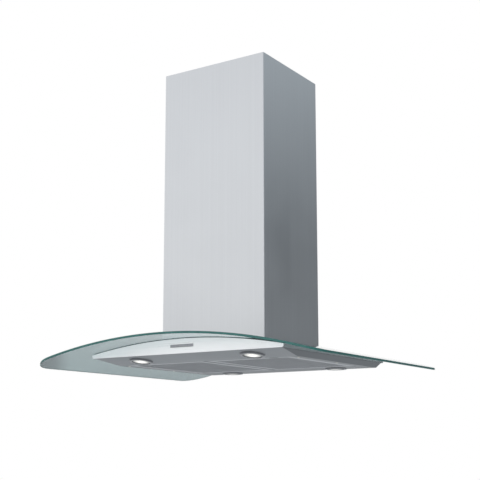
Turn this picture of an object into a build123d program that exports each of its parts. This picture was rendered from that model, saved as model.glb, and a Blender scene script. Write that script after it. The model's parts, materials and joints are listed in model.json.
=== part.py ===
from build123d import *
import math
import os

os.makedirs("parts", exist_ok=True)

# ---------------------------------------------------------------- driving dimensions (mm)
# The frame's origin is on the ceiling, at the centre of the ceiling plate. +X is to the
# right, -Y is the side with the controls, and the hood hangs down towards -Z.
DROP = 838.0                 # ceiling to the bottom edge of the fascia
FASCIA_Z = -DROP             # height of the fascia's bottom edge

GLASS_LENGTH = 900.0
GLASS_DEPTH = 780.0
GLASS_THICKNESS = 6.0
GLASS_CORNER = 75.0
ARCH_RADIUS = 1620.0         # radius of the glass's top face, about an axis along Y
ARCH_RISE = 46.0             # top of the arch above the fascia's bottom edge
GLASS_HOLE_X = 290.0
GLASS_HOLE_Y = 250.0
GLASS_HOLE_CORNER = 20.0

GASKET = 1.0
SHEET = 1.2                  # steel sheet of the body
BODY_X = 616.0
BODY_Y = 569.0
FASCIA_X = 618.0
FASCIA_THICKNESS = 2.5
FASCIA_CORNER = 6.0
SKIRT_TOP = (606.0, 562.0)
SKIRT_BOTTOM_X = 582.0
SKIRT_REAR_Y = 272.0         # rear edge of the belly pan's flat floor
STRIP_Y = 188.0              # in front of this the floor rises to the fascia, and holds two lamps
RIM_HEIGHT = 5.0             # upright rim of the belly pan, inside the body
SKIRT_WALL = 1.5             # the sloping wall of the belly pan, measured level
BODY_HOLE_X = 236.0          # hole in the body's top, under the blower
BODY_HOLE_Y = 196.0
BELLY_SCREW_X = 279.0
BELLY_SCREW_Y = (-160.0, 50.0, 255.0)
STANDOFF_R = 4.0
SCREW_HOLE_R = 1.7
PAN_Z = -14.0                # underside of the belly pan, above the fascia's bottom edge

CHIMNEY_X = 340.0
CHIMNEY_Y = 300.0
CHIMNEY_SHEET = 1.2
CHIMNEY_CORNER = 4.0
SLEEVE_GAP = 1.8             # between the two telescoping sleeves
SLEEVE_SHEET = 1.0
SLEEVE_LENGTH = 480.0
TRAVEL = 250.0               # height adjustment of the hood below the ceiling

POST_LEG = 25.0
POST_SHEET = 2.0
FOOT_SIDE = 24.0             # square foot folded inside each lower post
UPPER_POST_X = 158.0         # outer faces of the upper posts
UPPER_POST_Y = 138.0
LOWER_POST_X = 155.5         # outer faces of the lower posts, inside the upper ones
LOWER_POST_Y = 135.5
UPPER_POST_END = -440.0
LOWER_POST_TOP = -120.0
POST_BOLT_X = 143.0
POST_BOLT_Z = -400.0
POST_BOLT_R = 3.0
TIE_Z = -448.0               # middle of the tie ring, just under the upper posts
TIE_SCREW_R = 1.6

PLATE_THICKNESS = 3.0
PLATE_Y = 288.0
FLANGE_DROP = 25.0
MOUNT_SPACING_X = 250.0
MOUNT_SPACING_Y = 200.0
MOUNT_HOLE_R = 4.5
SLEEVE_SCREW_Y = 100.0
SLEEVE_SCREW_Z = -12.0
SLEEVE_SCREW_R = 1.5
CABLE_X = -88.0              # the mains cable drops through the ceiling plate to its gland
CABLE_Y = -83.0
CABLE_HOLE_R = 8.0

BOX_X = 262.0                # blower box, outside
BOX_Y = 222.0
BOX_TOP = 310.0
BOX_SHEET = 1.0
BOX_FLANGE_HOLE_X = 240.0
BOX_FLANGE_HOLE_Y = 200.0
OUTLET_HOLE_X = 107.0        # hole in the blower box's lid, over the scroll's mouth
OUTLET_HOLE_Y = 93.0
OUTLET_HOLE_CENTRE_Y = 38.5
DUCT_Y = 35.0                # the duct's axis lies behind the centre
DUCT_HOLE_R = 80.0
COLLAR_R = 75.0              # for a 150 mm duct
COLLAR_WALL = 1.0
COLLAR_TOP = 372.0
SPINDLE_Z = 345.0
SPINDLE_R = 2.5
RUNNING = 0.05

SCROLL_HALF_WIDTH = 55.0
SCROLL_SHEET = 1.5
FAN_Y = -16.0                # the impeller's axis
FAN_Z = 155.0
FAN_R = 68.0
FAN_HALF_WIDTH = 45.0
BLADE_COUNT = 30
BLADE_ROOT_R = 56.0
BLADE_SHEET = 1.2
INLET_R = 52.0
SHAFT_R = 4.0
MOTOR_R = 34.0
CAPACITOR_R = 16.0
CAPACITOR_HEIGHT = 55.0
TERMINAL_BOX_HEIGHT = 32.0
CABLE_R = 3.5
THREAD_R = 6.0
TRANSFORMER_X = 60.0         # half its length
TRANSFORMER_Y = (205.0, 250.0)

LAMP_X = 182.0
LAMP_Y = 228.0
LAMP_HOLE_R = 29.0
BEZEL_R = 34.0
BEZEL_TIP_R = 32.0           # its ring tapers to this at the bottom
BEZEL_DROP = 3.5             # and stands this far below the belly pan
BEZEL_HOLE_R = 25.0
LENS_R = 27.1
LENS_FACE_R = 24.6
LENS_STEP = 2.0              # the lens's face lies this far below the pan
LENS_DOME = 1.6              # and bulges this much more
CUP_R = 31.0
CUP_TOP = 23.0               # above the pan's underside

FILTER_X = 262.0
FILTER_Y = 366.0
FILTER_THICKNESS = 9.0
FILTER_CENTRE_X = 137.0
FILTER_RAIL = 18.0
HINGE_Y = 178.0
HINGE_Z = PAN_Z + 4.5        # above the fascia's bottom edge
PIN_R = 2.0
LATCH_X = 215.0
LUG_SHEET = 2.0
DIVIDER_X = 9.0              # bar between the filters, set back into the pan
DIVIDER_Z = (PAN_Z + 5.5, PAN_Z + 7.0)
DIVIDER_TAB = 3.0

CONTROL_Z = 20.0
CONTROL_X = 75.0
CONTROL_HEIGHT = 7.4
BUTTON_PITCH = 14.0
BUTTON_X = 10.0
BUTTON_HEIGHT = 4.6

SIDES = (-1, 1)
CORNERS = [(sx, sy) for sx in SIDES for sy in SIDES]
ARCH_AXIS_Z = FASCIA_Z + ARCH_RISE - ARCH_RADIUS
GLASS_LOW_R = ARCH_RADIUS - GLASS_THICKNESS
BODY_TOP_R = GLASS_LOW_R - GASKET
CLAMP_LOW_R = ARCH_RADIUS + GASKET
CLAMP_TOP_R = CLAMP_LOW_R + 2.5
FOOT_TOP_R = CLAMP_TOP_R + POST_SHEET


# ---------------------------------------------------------------- shared helpers
def at_height(z):
    """Height above the fascia's bottom edge, as a height in the hood's frame."""
    return FASCIA_Z + z


def save(name, *solids):
    """Write one node as a STEP file. Several solids become a group."""
    shape = solids[0] if len(solids) == 1 else Compound(children=list(solids))
    shape.label = name
    export_step(shape, f"parts/{name}.step")


def box_between(x0, x1, y0, y1, z0, z1):
    middle = Pos((x0 + x1) / 2, (y0 + y1) / 2, (z0 + z1) / 2)
    return middle * Box(x1 - x0, y1 - y0, z1 - z0)


def rod_x(radius, x0, x1, y, z):
    return Pos((x0 + x1) / 2, y, z) * Rot(0, 90, 0) * Cylinder(radius, x1 - x0)


def rod_y(radius, y0, y1, x, z):
    return Pos(x, (y0 + y1) / 2, z) * Rot(90, 0, 0) * Cylinder(radius, y1 - y0)


def rod_z(radius, z0, z1, x=0.0, y=0.0):
    return Pos(x, y, (z0 + z1) / 2) * Cylinder(radius, z1 - z0)


def tube_z(outer, inner, z0, z1, x=0.0, y=0.0):
    return rod_z(outer, z0, z1, x, y) - rod_z(inner, z0 - 1, z1 + 1, x, y)


def arch_drum(radius):
    """The solid under an arched face: a cylinder along Y about the arch's axis."""
    return rod_y(radius, -450, 450, 0, ARCH_AXIS_Z)


def arched(sketch, low_radius, top_radius):
    """A sheet of the given plan that follows the arch between two radii."""
    prism = Pos(0, 0, at_height(-60)) * extrude(sketch, 160)
    return (prism & arch_drum(top_radius)) - arch_drum(low_radius)


def under_arch(x, y, radius, bottom):
    """A block of plan x by y with a flat bottom and an arched top."""
    return box_between(-x / 2, x / 2, -y / 2, y / 2, at_height(bottom), at_height(90)) & arch_drum(radius)


def ring(x, y, hole_x, hole_y, corner=0.0, hole_corner=0.0):
    outer = RectangleRounded(x, y, corner) if corner else Rectangle(x, y)
    hole = RectangleRounded(hole_x, hole_y, hole_corner) if hole_corner else Rectangle(hole_x, hole_y)
    return outer - hole


def dot(x, y, radius):
    return Pos(x, y) * Circle(radius)


# ---------------------------------------------------------------- ceiling part
def ceiling_plate():
    sleeve_x = CHIMNEY_X - 2 * (CHIMNEY_SHEET + SLEEVE_GAP + SLEEVE_SHEET)
    plate = box_between(-sleeve_x / 2, sleeve_x / 2, -PLATE_Y / 2, PLATE_Y / 2, -PLATE_THICKNESS, 0)
    for side in SIDES:
        inner, outer = sorted((side * (sleeve_x / 2 - POST_SHEET), side * sleeve_x / 2))
        plate += box_between(inner, outer, -PLATE_Y / 2, PLATE_Y / 2, -FLANGE_DROP, 0)
        for y in (-SLEEVE_SCREW_Y, SLEEVE_SCREW_Y):
            plate -= rod_x(SLEEVE_SCREW_R + 0.1, inner - 1, outer + 1, y, SLEEVE_SCREW_Z)
    plate -= rod_z(DUCT_HOLE_R, -10, 10, 0, DUCT_Y)
    plate -= rod_z(CABLE_HOLE_R, -10, 10, CABLE_X, CABLE_Y)
    for sx, sy in CORNERS:
        plate -= rod_z(MOUNT_HOLE_R, -10, 10, sx * MOUNT_SPACING_X / 2, sy * MOUNT_SPACING_Y / 2)
    return plate


def chimney_upper():
    x = CHIMNEY_X - 2 * (CHIMNEY_SHEET + SLEEVE_GAP)
    y = CHIMNEY_Y - 2 * (CHIMNEY_SHEET + SLEEVE_GAP)
    wall = ring(x, y, x - 2 * SLEEVE_SHEET, y - 2 * SLEEVE_SHEET, 2.5, 1.5)
    sleeve = Pos(0, 0, -SLEEVE_LENGTH) * extrude(wall, SLEEVE_LENGTH)
    for screw_y in (-SLEEVE_SCREW_Y, SLEEVE_SCREW_Y):
        sleeve -= rod_x(SLEEVE_SCREW_R + 0.1, -x, x, screw_y, SLEEVE_SCREW_Z)
    return sleeve


def sleeve_screws():
    face = CHIMNEY_X / 2 - CHIMNEY_SHEET - SLEEVE_GAP
    screws = []
    for side, y in ((sx, sy * SLEEVE_SCREW_Y) for sx, sy in CORNERS):
        shank = rod_x(SLEEVE_SCREW_R, *sorted((side * (face - 6), side * face)), y, SLEEVE_SCREW_Z)
        head = rod_x(3.5, *sorted((side * face, side * (face + 1.0))), y, SLEEVE_SCREW_Z)
        screws.append(shank + head)
    return screws


def corner_post(sx, sy, face_x, face_y, low, top):
    """One L-shaped corner post, its two legs along X and Y."""
    x0, x1 = sorted((sx * face_x, sx * (face_x - POST_LEG)))
    y0, y1 = sorted((sy * face_y, sy * (face_y - POST_LEG)))
    post = box_between(x0, x1, y0, y1, low, top)
    cx0, cx1 = sorted((sx * (face_x - POST_SHEET), sx * (face_x - POST_LEG - 1)))
    cy0, cy1 = sorted((sy * (face_y - POST_SHEET), sy * (face_y - POST_LEG - 1)))
    return post - box_between(cx0, cx1, cy0, cy1, low - 1, top + 1)


def upper_posts():
    posts = []
    for sx, sy in CORNERS:
        post = corner_post(sx, sy, UPPER_POST_X, UPPER_POST_Y, UPPER_POST_END, -PLATE_THICKNESS)
        y0, y1 = sorted((sy * 120, sy * 145))
        posts.append(post - rod_y(POST_BOLT_R + 0.1, y0, y1, sx * POST_BOLT_X, POST_BOLT_Z))
    return posts


def post_bolts():
    """Low-headed bolts through the upper posts, and their nuts inside the lower posts."""
    pieces = []
    for sx, sy in CORNERS:
        shank = rod_y(POST_BOLT_R, *sorted((sy * 127, sy * UPPER_POST_Y)), sx * POST_BOLT_X, POST_BOLT_Z)
        face, top = sy * UPPER_POST_Y, sy * (UPPER_POST_Y + 3)
        head = rod_y(6, *sorted((face, top)), sx * POST_BOLT_X, POST_BOLT_Z)
        nut_far, nut_near = sorted((sy * 128.2, sy * 133.2))
        hexagon = Plane.XZ * RegularPolygon(5.6, 6)
        nut = Pos(sx * POST_BOLT_X, nut_far, POST_BOLT_Z) * extrude(hexagon, -(nut_near - nut_far))
        nut -= rod_y(POST_BOLT_R, nut_far - 1, nut_near + 1, sx * POST_BOLT_X, POST_BOLT_Z)
        pieces += [shank + head, nut]
    return pieces


# ---------------------------------------------------------------- frame of the hood
def foot_place(sx, sy):
    return sx * (LOWER_POST_X - FOOT_SIDE / 2), sy * (LOWER_POST_Y - FOOT_SIDE / 2)


def lower_posts():
    posts = []
    for sx, sy in CORNERS:
        post = corner_post(sx, sy, LOWER_POST_X, LOWER_POST_Y, at_height(-20), LOWER_POST_TOP)
        post -= arch_drum(CLAMP_TOP_R)
        x, y = foot_place(sx, sy)
        foot = Pos(x, y) * Rectangle(FOOT_SIDE, FOOT_SIDE) - dot(x, y, 2.6)
        post += arched(foot, CLAMP_TOP_R, FOOT_TOP_R)
        y0, y1 = sorted((sy * 120, sy * 145))
        slot_low = POST_BOLT_Z - POST_BOLT_R - 1
        slot_top = POST_BOLT_Z + TRAVEL + POST_BOLT_R + 1
        slot_x = sx * POST_BOLT_X
        post -= box_between(slot_x - 3.3, slot_x + 3.3, y0, y1, slot_low, slot_top)
        post -= rod_y(TIE_SCREW_R, y0, y1, slot_x, TIE_Z)
        posts.append(post)
    return posts


def tie_ring():
    x = 2 * (LOWER_POST_X - POST_SHEET)
    y = 2 * (LOWER_POST_Y - POST_SHEET)
    band = Pos(0, 0, TIE_Z - 10) * extrude(ring(x, y, x - 3, y - 3), 20)
    for sx, sy in CORNERS:
        band -= rod_y(TIE_SCREW_R, *sorted((sy * 120, sy * 140)), sx * POST_BOLT_X, TIE_Z)
    return band


def frame_screws():
    """Screws of the post feet and of the tie ring."""
    screws = []
    for sx, sy in CORNERS:
        x, y = foot_place(sx, sy)
        shank = arched(dot(x, y, 2.5), CLAMP_LOW_R + 0.3, FOOT_TOP_R)
        screws.append(shank + arched(dot(x, y, 4.5), FOOT_TOP_R, FOOT_TOP_R + 2.8))
        px = sx * POST_BOLT_X
        shank = rod_y(1.5, *sorted((sy * 128, sy * LOWER_POST_Y)), px, TIE_Z)
        head = rod_y(3.2, *sorted((sy * LOWER_POST_Y, sy * (LOWER_POST_Y + 1.6))), px, TIE_Z)
        screws.append(shank + head)
    return screws


def clamp_places():
    """Places of the screws that clamp the glass, between its hole and the blower box."""
    return [(sx * 138, sy * 70) for sx, sy in CORNERS] + [(sx * 80, sy * 118) for sx, sy in CORNERS]


def clamp_frame():
    x = CHIMNEY_X - 2 * CHIMNEY_SHEET - 0.8
    y = CHIMNEY_Y - 2 * CHIMNEY_SHEET - 0.8
    plan = ring(x, y, BOX_X + 2.4, BOX_Y + 2.4, 2.5)
    for px, py in clamp_places() + [foot_place(sx, sy) for sx, sy in CORNERS]:
        plan -= dot(px, py, 2.6)
    return arched(plan, CLAMP_LOW_R, CLAMP_TOP_R)


def clamp_spacers():
    return [arched(dot(x, y, 5) - dot(x, y, 2.7), BODY_TOP_R, CLAMP_LOW_R) for x, y in clamp_places()]


def clamp_screws():
    """Screws through frame, spacer and body top, each with its nut under the body top."""
    pieces = []
    nut_top = BODY_TOP_R - SHEET
    for x, y in clamp_places():
        shank = arched(dot(x, y, 2.5), nut_top - 6, CLAMP_TOP_R)
        head = arched(dot(x, y, 4.5), CLAMP_TOP_R, CLAMP_TOP_R + 3)
        hexagon = Pos(x, y) * RegularPolygon(5, 6) - dot(x, y, 2.55)
        pieces += [shank + head, arched(hexagon, nut_top - 4.5, nut_top)]
    return pieces


# ---------------------------------------------------------------- chimney and glass
def chimney_lower():
    wall = ring(CHIMNEY_X, CHIMNEY_Y, CHIMNEY_X - 2 * CHIMNEY_SHEET, CHIMNEY_Y - 2 * CHIMNEY_SHEET,
                CHIMNEY_CORNER, CHIMNEY_CORNER - CHIMNEY_SHEET)
    sleeve = Pos(0, 0, FASCIA_Z) * extrude(wall, DROP)
    return sleeve - arch_drum(ARCH_RADIUS)


def glass_canopy():
    plan = ring(GLASS_LENGTH, GLASS_DEPTH, GLASS_HOLE_X, GLASS_HOLE_Y, GLASS_CORNER, GLASS_HOLE_CORNER)
    return arched(plan, GLASS_LOW_R, ARCH_RADIUS)


def glass_gaskets():
    hole_x, hole_y = GLASS_HOLE_X + 2, GLASS_HOLE_Y + 2
    middle = ring(330, 290, hole_x, hole_y)
    strip = Rectangle(600, 10)
    edge = BODY_Y / 2 - 6
    return [arched(middle, BODY_TOP_R, GLASS_LOW_R),
            arched(middle, ARCH_RADIUS, CLAMP_LOW_R),
            arched(Pos(0, -edge) * strip, BODY_TOP_R, GLASS_LOW_R),
            arched(Pos(0, edge) * strip, BODY_TOP_R, GLASS_LOW_R)]


# ---------------------------------------------------------------- body under the glass
def belly_screw_places():
    return [(side * BELLY_SCREW_X, y) for side in SIDES for y in BELLY_SCREW_Y]


def lamp_place(sx, sy):
    """Frame of a lamp, at its centre on the pan's underside. The front ones lean with the pan."""
    if sy > 0:
        return Pos(sx * LAMP_X, LAMP_Y, at_height(PAN_Z))
    share = (LAMP_Y - STRIP_Y) / (SKIRT_TOP[1] / 2 - STRIP_Y)
    lean = math.degrees(math.atan2(-PAN_Z, SKIRT_TOP[1] / 2 - STRIP_Y))
    return Pos(sx * LAMP_X, -LAMP_Y, at_height(PAN_Z * (1 - share))) * Rot(-lean, 0, 0)


def control_window(margin):
    half_x = CONTROL_X / 2 + margin
    half_z = CONTROL_HEIGHT / 2 + margin
    z = at_height(CONTROL_Z)
    return box_between(-half_x, half_x, -BODY_Y / 2 - 10, -BODY_Y / 2 + 10, z - half_z, z + half_z)


def body_shell():
    """Pressed steel box with an arched top, open below, with standoffs for the belly pan."""
    shell = under_arch(BODY_X, BODY_Y, BODY_TOP_R, 0)
    shell -= under_arch(BODY_X - 2 * SHEET, BODY_Y - 2 * SHEET, BODY_TOP_R - SHEET, -5)
    shell -= Pos(0, 0, at_height(-5)) * extrude(Rectangle(BODY_HOLE_X, BODY_HOLE_Y), 100)
    for x, y in belly_screw_places():
        post = rod_z(STANDOFF_R, at_height(PAN_Z + SHEET), at_height(60), x, y)
        post &= arch_drum(BODY_TOP_R - SHEET / 2)
        shell += post - rod_z(SCREW_HOLE_R, at_height(-20), at_height(4), x, y)
    for x, y in clamp_places():
        shell -= rod_z(2.6, at_height(0), at_height(60), x, y)
    for x, y in box_screw_places():
        shell -= rod_z(2.0, at_height(0), at_height(60), x, y)
    return shell - control_window(5)


def fascia(side):
    """Arched cover plate. side is -1 at the front and +1 at the back."""
    near = BODY_Y / 2
    y0, y1 = sorted((side * near, side * (near + FASCIA_THICKNESS)))
    half = FASCIA_X / 2
    plate = box_between(-half, half, y0, y1, at_height(0), at_height(90)) & arch_drum(BODY_TOP_R)
    lower = [e for e in plate.edges().filter_by(Axis.Y) if e.center().Z < at_height(1)]
    plate = fillet(lower, FASCIA_CORNER)
    return plate - control_window(0) if side < 0 else plate


def pan_tray(half_low, ys_low, half_top, ys_top, low):
    """Block that narrows downwards, from the fascia's bottom edge to low."""
    lower = Pos(0, sum(ys_low) / 2, at_height(low)) * Rectangle(2 * half_low, ys_low[1] - ys_low[0])
    upper = Pos(0, sum(ys_top) / 2, at_height(0)) * Rectangle(2 * half_top, ys_top[1] - ys_top[0])
    return loft([lower, upper])


def belly_pan():
    """Tray with a leaning front strip, sloping sides, an opening for two filters and lamp holes."""
    top_x, top_y, low_x = SKIRT_TOP[0] / 2, SKIRT_TOP[1] / 2, SKIRT_BOTTOM_X / 2
    tray = pan_tray(low_x, (-STRIP_Y, SKIRT_REAR_Y), top_x, (-top_y, top_y), PAN_Z)
    inner_front = STRIP_Y + (top_y - STRIP_Y) * (1 + SHEET / PAN_Z)
    tray -= pan_tray(low_x - SKIRT_WALL, (-STRIP_Y, SKIRT_REAR_Y - SKIRT_WALL),
                     top_x - SKIRT_WALL, (-inner_front, top_y - SKIRT_WALL), PAN_Z + SHEET)
    rim = ring(2 * top_x, 2 * top_y, 2 * (top_x - SKIRT_WALL), 2 * (top_y - SKIRT_WALL))
    tray += Pos(0, 0, at_height(0)) * extrude(rim, RIM_HEIGHT)
    near, far = FILTER_CENTRE_X - FILTER_X / 2 - 1, FILTER_CENTRE_X + FILTER_X / 2 + 1
    front, rear = -FILTER_Y / 2 - 1.5, FILTER_Y / 2 + 3
    tray -= box_between(-far, far, front, rear, at_height(-20), at_height(-5))
    bar = DIVIDER_X / 2
    bar_low, bar_top = (at_height(z) for z in DIVIDER_Z)
    tray += box_between(-bar, bar, front - DIVIDER_TAB, rear + DIVIDER_TAB, bar_low, bar_top)
    tray += box_between(-bar, bar, front - DIVIDER_TAB, front, at_height(PAN_Z), bar_top)
    tray += box_between(-bar, bar, rear, rear + DIVIDER_TAB, at_height(PAN_Z), bar_top)
    for side in SIDES:
        for lug_x in (near - LUG_SHEET - 0.5, far + 0.5):
            lx0, lx1 = sorted((side * lug_x, side * (lug_x + LUG_SHEET)))
            tray += box_between(lx0, lx1, HINGE_Y - 4, HINGE_Y + 6, at_height(PAN_Z + 0.5), at_height(PAN_Z + 9))
            tray -= rod_x(PIN_R + RUNNING, lx0 - 1, lx1 + 1, HINGE_Y, at_height(HINGE_Z))
    for sx, sy in CORNERS:
        tray -= lamp_place(sx, sy) * rod_z(LAMP_HOLE_R, -8, 8)
    for x, y in belly_screw_places():
        tray -= rod_z(SCREW_HOLE_R, at_height(-20), at_height(-5), x, y)
    return tray


def belly_screws():
    screws = []
    for x, y in belly_screw_places():
        head = rod_z(3.6, at_height(PAN_Z - 1.6), at_height(PAN_Z), x, y)
        head = fillet(head.edges().group_by(Axis.Z)[0], 1.0)
        screws.append(head + rod_z(1.6, at_height(PAN_Z), at_height(1), x, y))
    return screws


# ---------------------------------------------------------------- blower
def box_screw_places():
    return [(sx * 125, sy * 60) for sx, sy in CORNERS] + [(sx * 70, sy * 105) for sx, sy in CORNERS]


def scroll_outline():
    """Side view of the scroll's inside: three widening arcs, the cut-off and the outlet."""
    z = FASCIA_Z
    lines = [
        Line((85, z + BOX_TOP - 1), (85, z + 160)),
        CenterArc((-12, z + 160), 97, 0, -90),
        CenterArc((-12, z + 152), 89, -90, -90),
        CenterArc((-20, z + 152), 81, 180, -90),
        CenterArc((-20, z + 245), 12, -90, 90),
        Line((-8, z + 245), (-8, z + BOX_TOP - 1)),
        Line((-8, z + BOX_TOP - 1), (85, z + BOX_TOP - 1)),
    ]
    return make_face(Wire(lines))


def scroll_block(outline, x0, x1):
    """The outline, drawn in Y and Z, made solid between two stations along X."""
    return Pos(x0, 0, 0) * extrude(Plane.YZ * outline, x1 - x0)


def scroll_half(side):
    inside = scroll_outline()
    outside = offset(inside, SCROLL_SHEET, kind=Kind.INTERSECTION)
    span = sorted((0.0, side * SCROLL_HALF_WIDTH))
    room = sorted((-side, side * (SCROLL_HALF_WIDTH - SCROLL_SHEET)))
    half = scroll_block(outside, *span) - scroll_block(inside, *room)
    half -= box_between(-90, 90, -40, 120, at_height(BOX_TOP - BOX_SHEET), at_height(BOX_TOP + 20))
    half -= box_between(*room, -8, 85, at_height(BOX_TOP - 10), at_height(BOX_TOP + 1))
    return half - rod_x(INLET_R + 3, -90, 90, FAN_Y, at_height(FAN_Z))


def inlet_rings():
    rings = []
    for side in SIDES:
        face = side * SCROLL_HALF_WIDTH
        flange = sorted((face, face + side * 2))
        throat = sorted((face + side * 2, face - side * 6))
        z = at_height(FAN_Z)
        outer = rod_x(INLET_R + 12, *flange, FAN_Y, z) + rod_x(INLET_R + 2.9, *throat, FAN_Y, z)
        rings.append(outer - rod_x(INLET_R, face - 20, face + 20, FAN_Y, z))
    return rings


def blower_box():
    """Open-bottomed box over the hole in the body's top, with an inward bottom flange."""
    wall = ring(BOX_X, BOX_Y, BOX_X - 2 * BOX_SHEET, BOX_Y - 2 * BOX_SHEET)
    box = Pos(0, 0, FASCIA_Z) * extrude(wall, BOX_TOP) - arch_drum(BODY_TOP_R)
    inside_x, inside_y = BOX_X - 2 * BOX_SHEET, BOX_Y - 2 * BOX_SHEET
    flange = ring(inside_x, inside_y, BOX_FLANGE_HOLE_X, BOX_FLANGE_HOLE_Y)
    for x, y in box_screw_places():
        flange -= dot(x, y, 2.0)
    box += arched(flange, BODY_TOP_R, BODY_TOP_R + SHEET)
    mouth = Pos(0, OUTLET_HOLE_CENTRE_Y) * Rectangle(OUTLET_HOLE_X, OUTLET_HOLE_Y)
    lid = Rectangle(BOX_X, BOX_Y) - mouth
    return box + Pos(0, 0, at_height(BOX_TOP - BOX_SHEET)) * extrude(lid, BOX_SHEET)


def motor_bracket():
    z = at_height(FAN_Z)
    clamp = rod_x(MOTOR_R + 2.5, -73, -65, FAN_Y, z)
    for angle in (90, 210, 330):
        arm = box_between(-68, -65, -6, 6, MOTOR_R, 71) + box_between(-68, -57, -6, 6, 66, 71)
        clamp += Pos(0, FAN_Y, z) * Rot(angle, 0, 0) * arm
    return clamp - rod_x(MOTOR_R, -80, -50, FAN_Y, z)


def motor():
    z = at_height(FAN_Z)
    body = rod_x(MOTOR_R, -78, -12, FAN_Y, z)
    body = fillet(body.edges().filter_by(GeomType.CIRCLE), 4)
    body += rod_x(9, -12, -8, FAN_Y, z)
    return body - rod_x(SHAFT_R + RUNNING, -40, 0, FAN_Y, z)


def motor_shaft():
    return rod_x(SHAFT_R, -39, 9, FAN_Y, at_height(FAN_Z))


def impeller():
    """Double-inlet drum: a centre disc, curved blades and two end rings."""
    centre = Pos(0, FAN_Y, at_height(FAN_Z))
    disc = rod_x(FAN_R - 2, -1, 1, 0, 0) + rod_x(10, -6, 6, 0, 0)
    for side in SIDES:
        end = sorted((side * FAN_HALF_WIDTH, side * (FAN_HALF_WIDTH - 2)))
        disc += rod_x(FAN_R, *end, 0, 0) - rod_x(BLADE_ROOT_R - 1, -60, 60, 0, 0)
    pitch = 360 / BLADE_COUNT
    blade = Pos(-FAN_HALF_WIDTH + 0.5, 0, 0) * extrude(Plane.YZ * blade_section(), 2 * FAN_HALF_WIDTH - 1)
    blades = [Rot(i * pitch, 0, 0) * blade for i in range(BLADE_COUNT)]
    drum = disc + blades
    return centre * (drum - rod_x(SHAFT_R, -20, 20, 0, 0))


def blade_section():
    """A thin curved strip between the drum's inner and outer radii."""
    centre = (BLADE_ROOT_R + 4, 8.6)
    far = CenterArc(centre, 11.0 + BLADE_SHEET / 2, 230, 68)
    near = CenterArc(centre, 11.0 - BLADE_SHEET / 2, 230, 68)
    return make_face(Wire([far, near, Line(far @ 0, near @ 0), Line(far @ 1, near @ 1)]))


def outlet_collar():
    low = at_height(BOX_TOP)
    base = tube_z(COLLAR_R + 7, COLLAR_R - COLLAR_WALL, low, low + SHEET, 0, DUCT_Y)
    collar = base + tube_z(COLLAR_R, COLLAR_R - COLLAR_WALL, low, at_height(COLLAR_TOP), 0, DUCT_Y)
    return collar - rod_x(SPINDLE_R, -90, 90, DUCT_Y, at_height(SPINDLE_Z))


def damper_spindle():
    return rod_x(SPINDLE_R, -COLLAR_R, COLLAR_R, DUCT_Y, at_height(SPINDLE_Z))


def damper_flap(side):
    """Half disc with two knuckles on the spindle. side is -1 at the front and +1 at the back."""
    z = at_height(SPINDLE_Z)
    disc = rod_z(COLLAR_R - COLLAR_WALL - 1.5, z - 0.5, z + 0.5, 0, DUCT_Y)
    y0, y1 = sorted((DUCT_Y + side * 3.2, DUCT_Y + side * 90))
    flap = disc & box_between(-90, 90, y0, y1, z - 5, z + 5)
    own = [(-60, -40), (10, 30)] if side < 0 else [(-30, -10), (40, 60)]
    other = [(-30, -10), (40, 60)] if side < 0 else [(-60, -40), (10, 30)]
    for x0, x1 in other:
        n0, n1 = sorted((DUCT_Y, DUCT_Y + side * 4.8))
        flap -= box_between(x0 - 0.6, x1 + 0.6, n0, n1, z - 5, z + 5)
    for x0, x1 in own:
        flap += rod_x(4, x0, x1, DUCT_Y, z)
    return flap - rod_x(SPINDLE_R + RUNNING, -90, 90, DUCT_Y, z)


def blower_screws():
    """Screws of the box flange, the collar and the motor bracket."""
    screws = []
    for x, y in box_screw_places():
        shank = arched(dot(x, y, 1.9), BODY_TOP_R - 5, BODY_TOP_R + SHEET)
        screws.append(shank + arched(dot(x, y, 3.6), BODY_TOP_R + SHEET, BODY_TOP_R + SHEET + 2.2))
    for angle in (45, 135, 225, 315):
        x = (COLLAR_R + 4) * math.cos(math.radians(angle))
        y = DUCT_Y + (COLLAR_R + 4) * math.sin(math.radians(angle))
        top = at_height(BOX_TOP) + SHEET
        screws.append(rod_z(2.4, top, top + 1.6, x, y))
    for angle in (90, 210, 330):
        place = Pos(0, FAN_Y, at_height(FAN_Z)) * Rot(angle, 0, 0)
        screws.append(place * rod_z(2.5, 71, 73, -62.5, 0))
    return screws


# ---------------------------------------------------------------- electrics
def capacitor():
    can = rod_z(CAPACITOR_R, at_height(BOX_TOP), at_height(BOX_TOP + CAPACITOR_HEIGHT), 85, -80)
    return fillet(can.edges().filter_by(GeomType.CIRCLE), 2)


def terminal_box():
    low = at_height(BOX_TOP)
    block = box_between(-125, -50, -106, -60, low, low + TERMINAL_BOX_HEIGHT)
    block = fillet(block.edges().filter_by(Axis.Z), 4)
    return block - rod_z(THREAD_R, low + 20, low + 40, CABLE_X, CABLE_Y)


def cable_gland():
    low = at_height(BOX_TOP) + 20
    thread = rod_z(THREAD_R, low, low + 12, CABLE_X, CABLE_Y)
    nut = Pos(CABLE_X, CABLE_Y, low + 12) * extrude(RegularPolygon(10, 6), 6)
    cap = rod_z(8, low + 18, low + 28, CABLE_X, CABLE_Y)
    cap = fillet(cap.edges().group_by(Axis.Z)[-1], 2)
    return thread + nut + cap - rod_z(CABLE_R, low - 1, low + 30, CABLE_X, CABLE_Y)


def lamp_transformer():
    low, top = at_height(PAN_Z + SHEET), at_height(8)
    case = box_between(-TRANSFORMER_X, TRANSFORMER_X, *TRANSFORMER_Y, low, top)
    return fillet(case.edges().filter_by(Axis.Z), 3)


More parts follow.
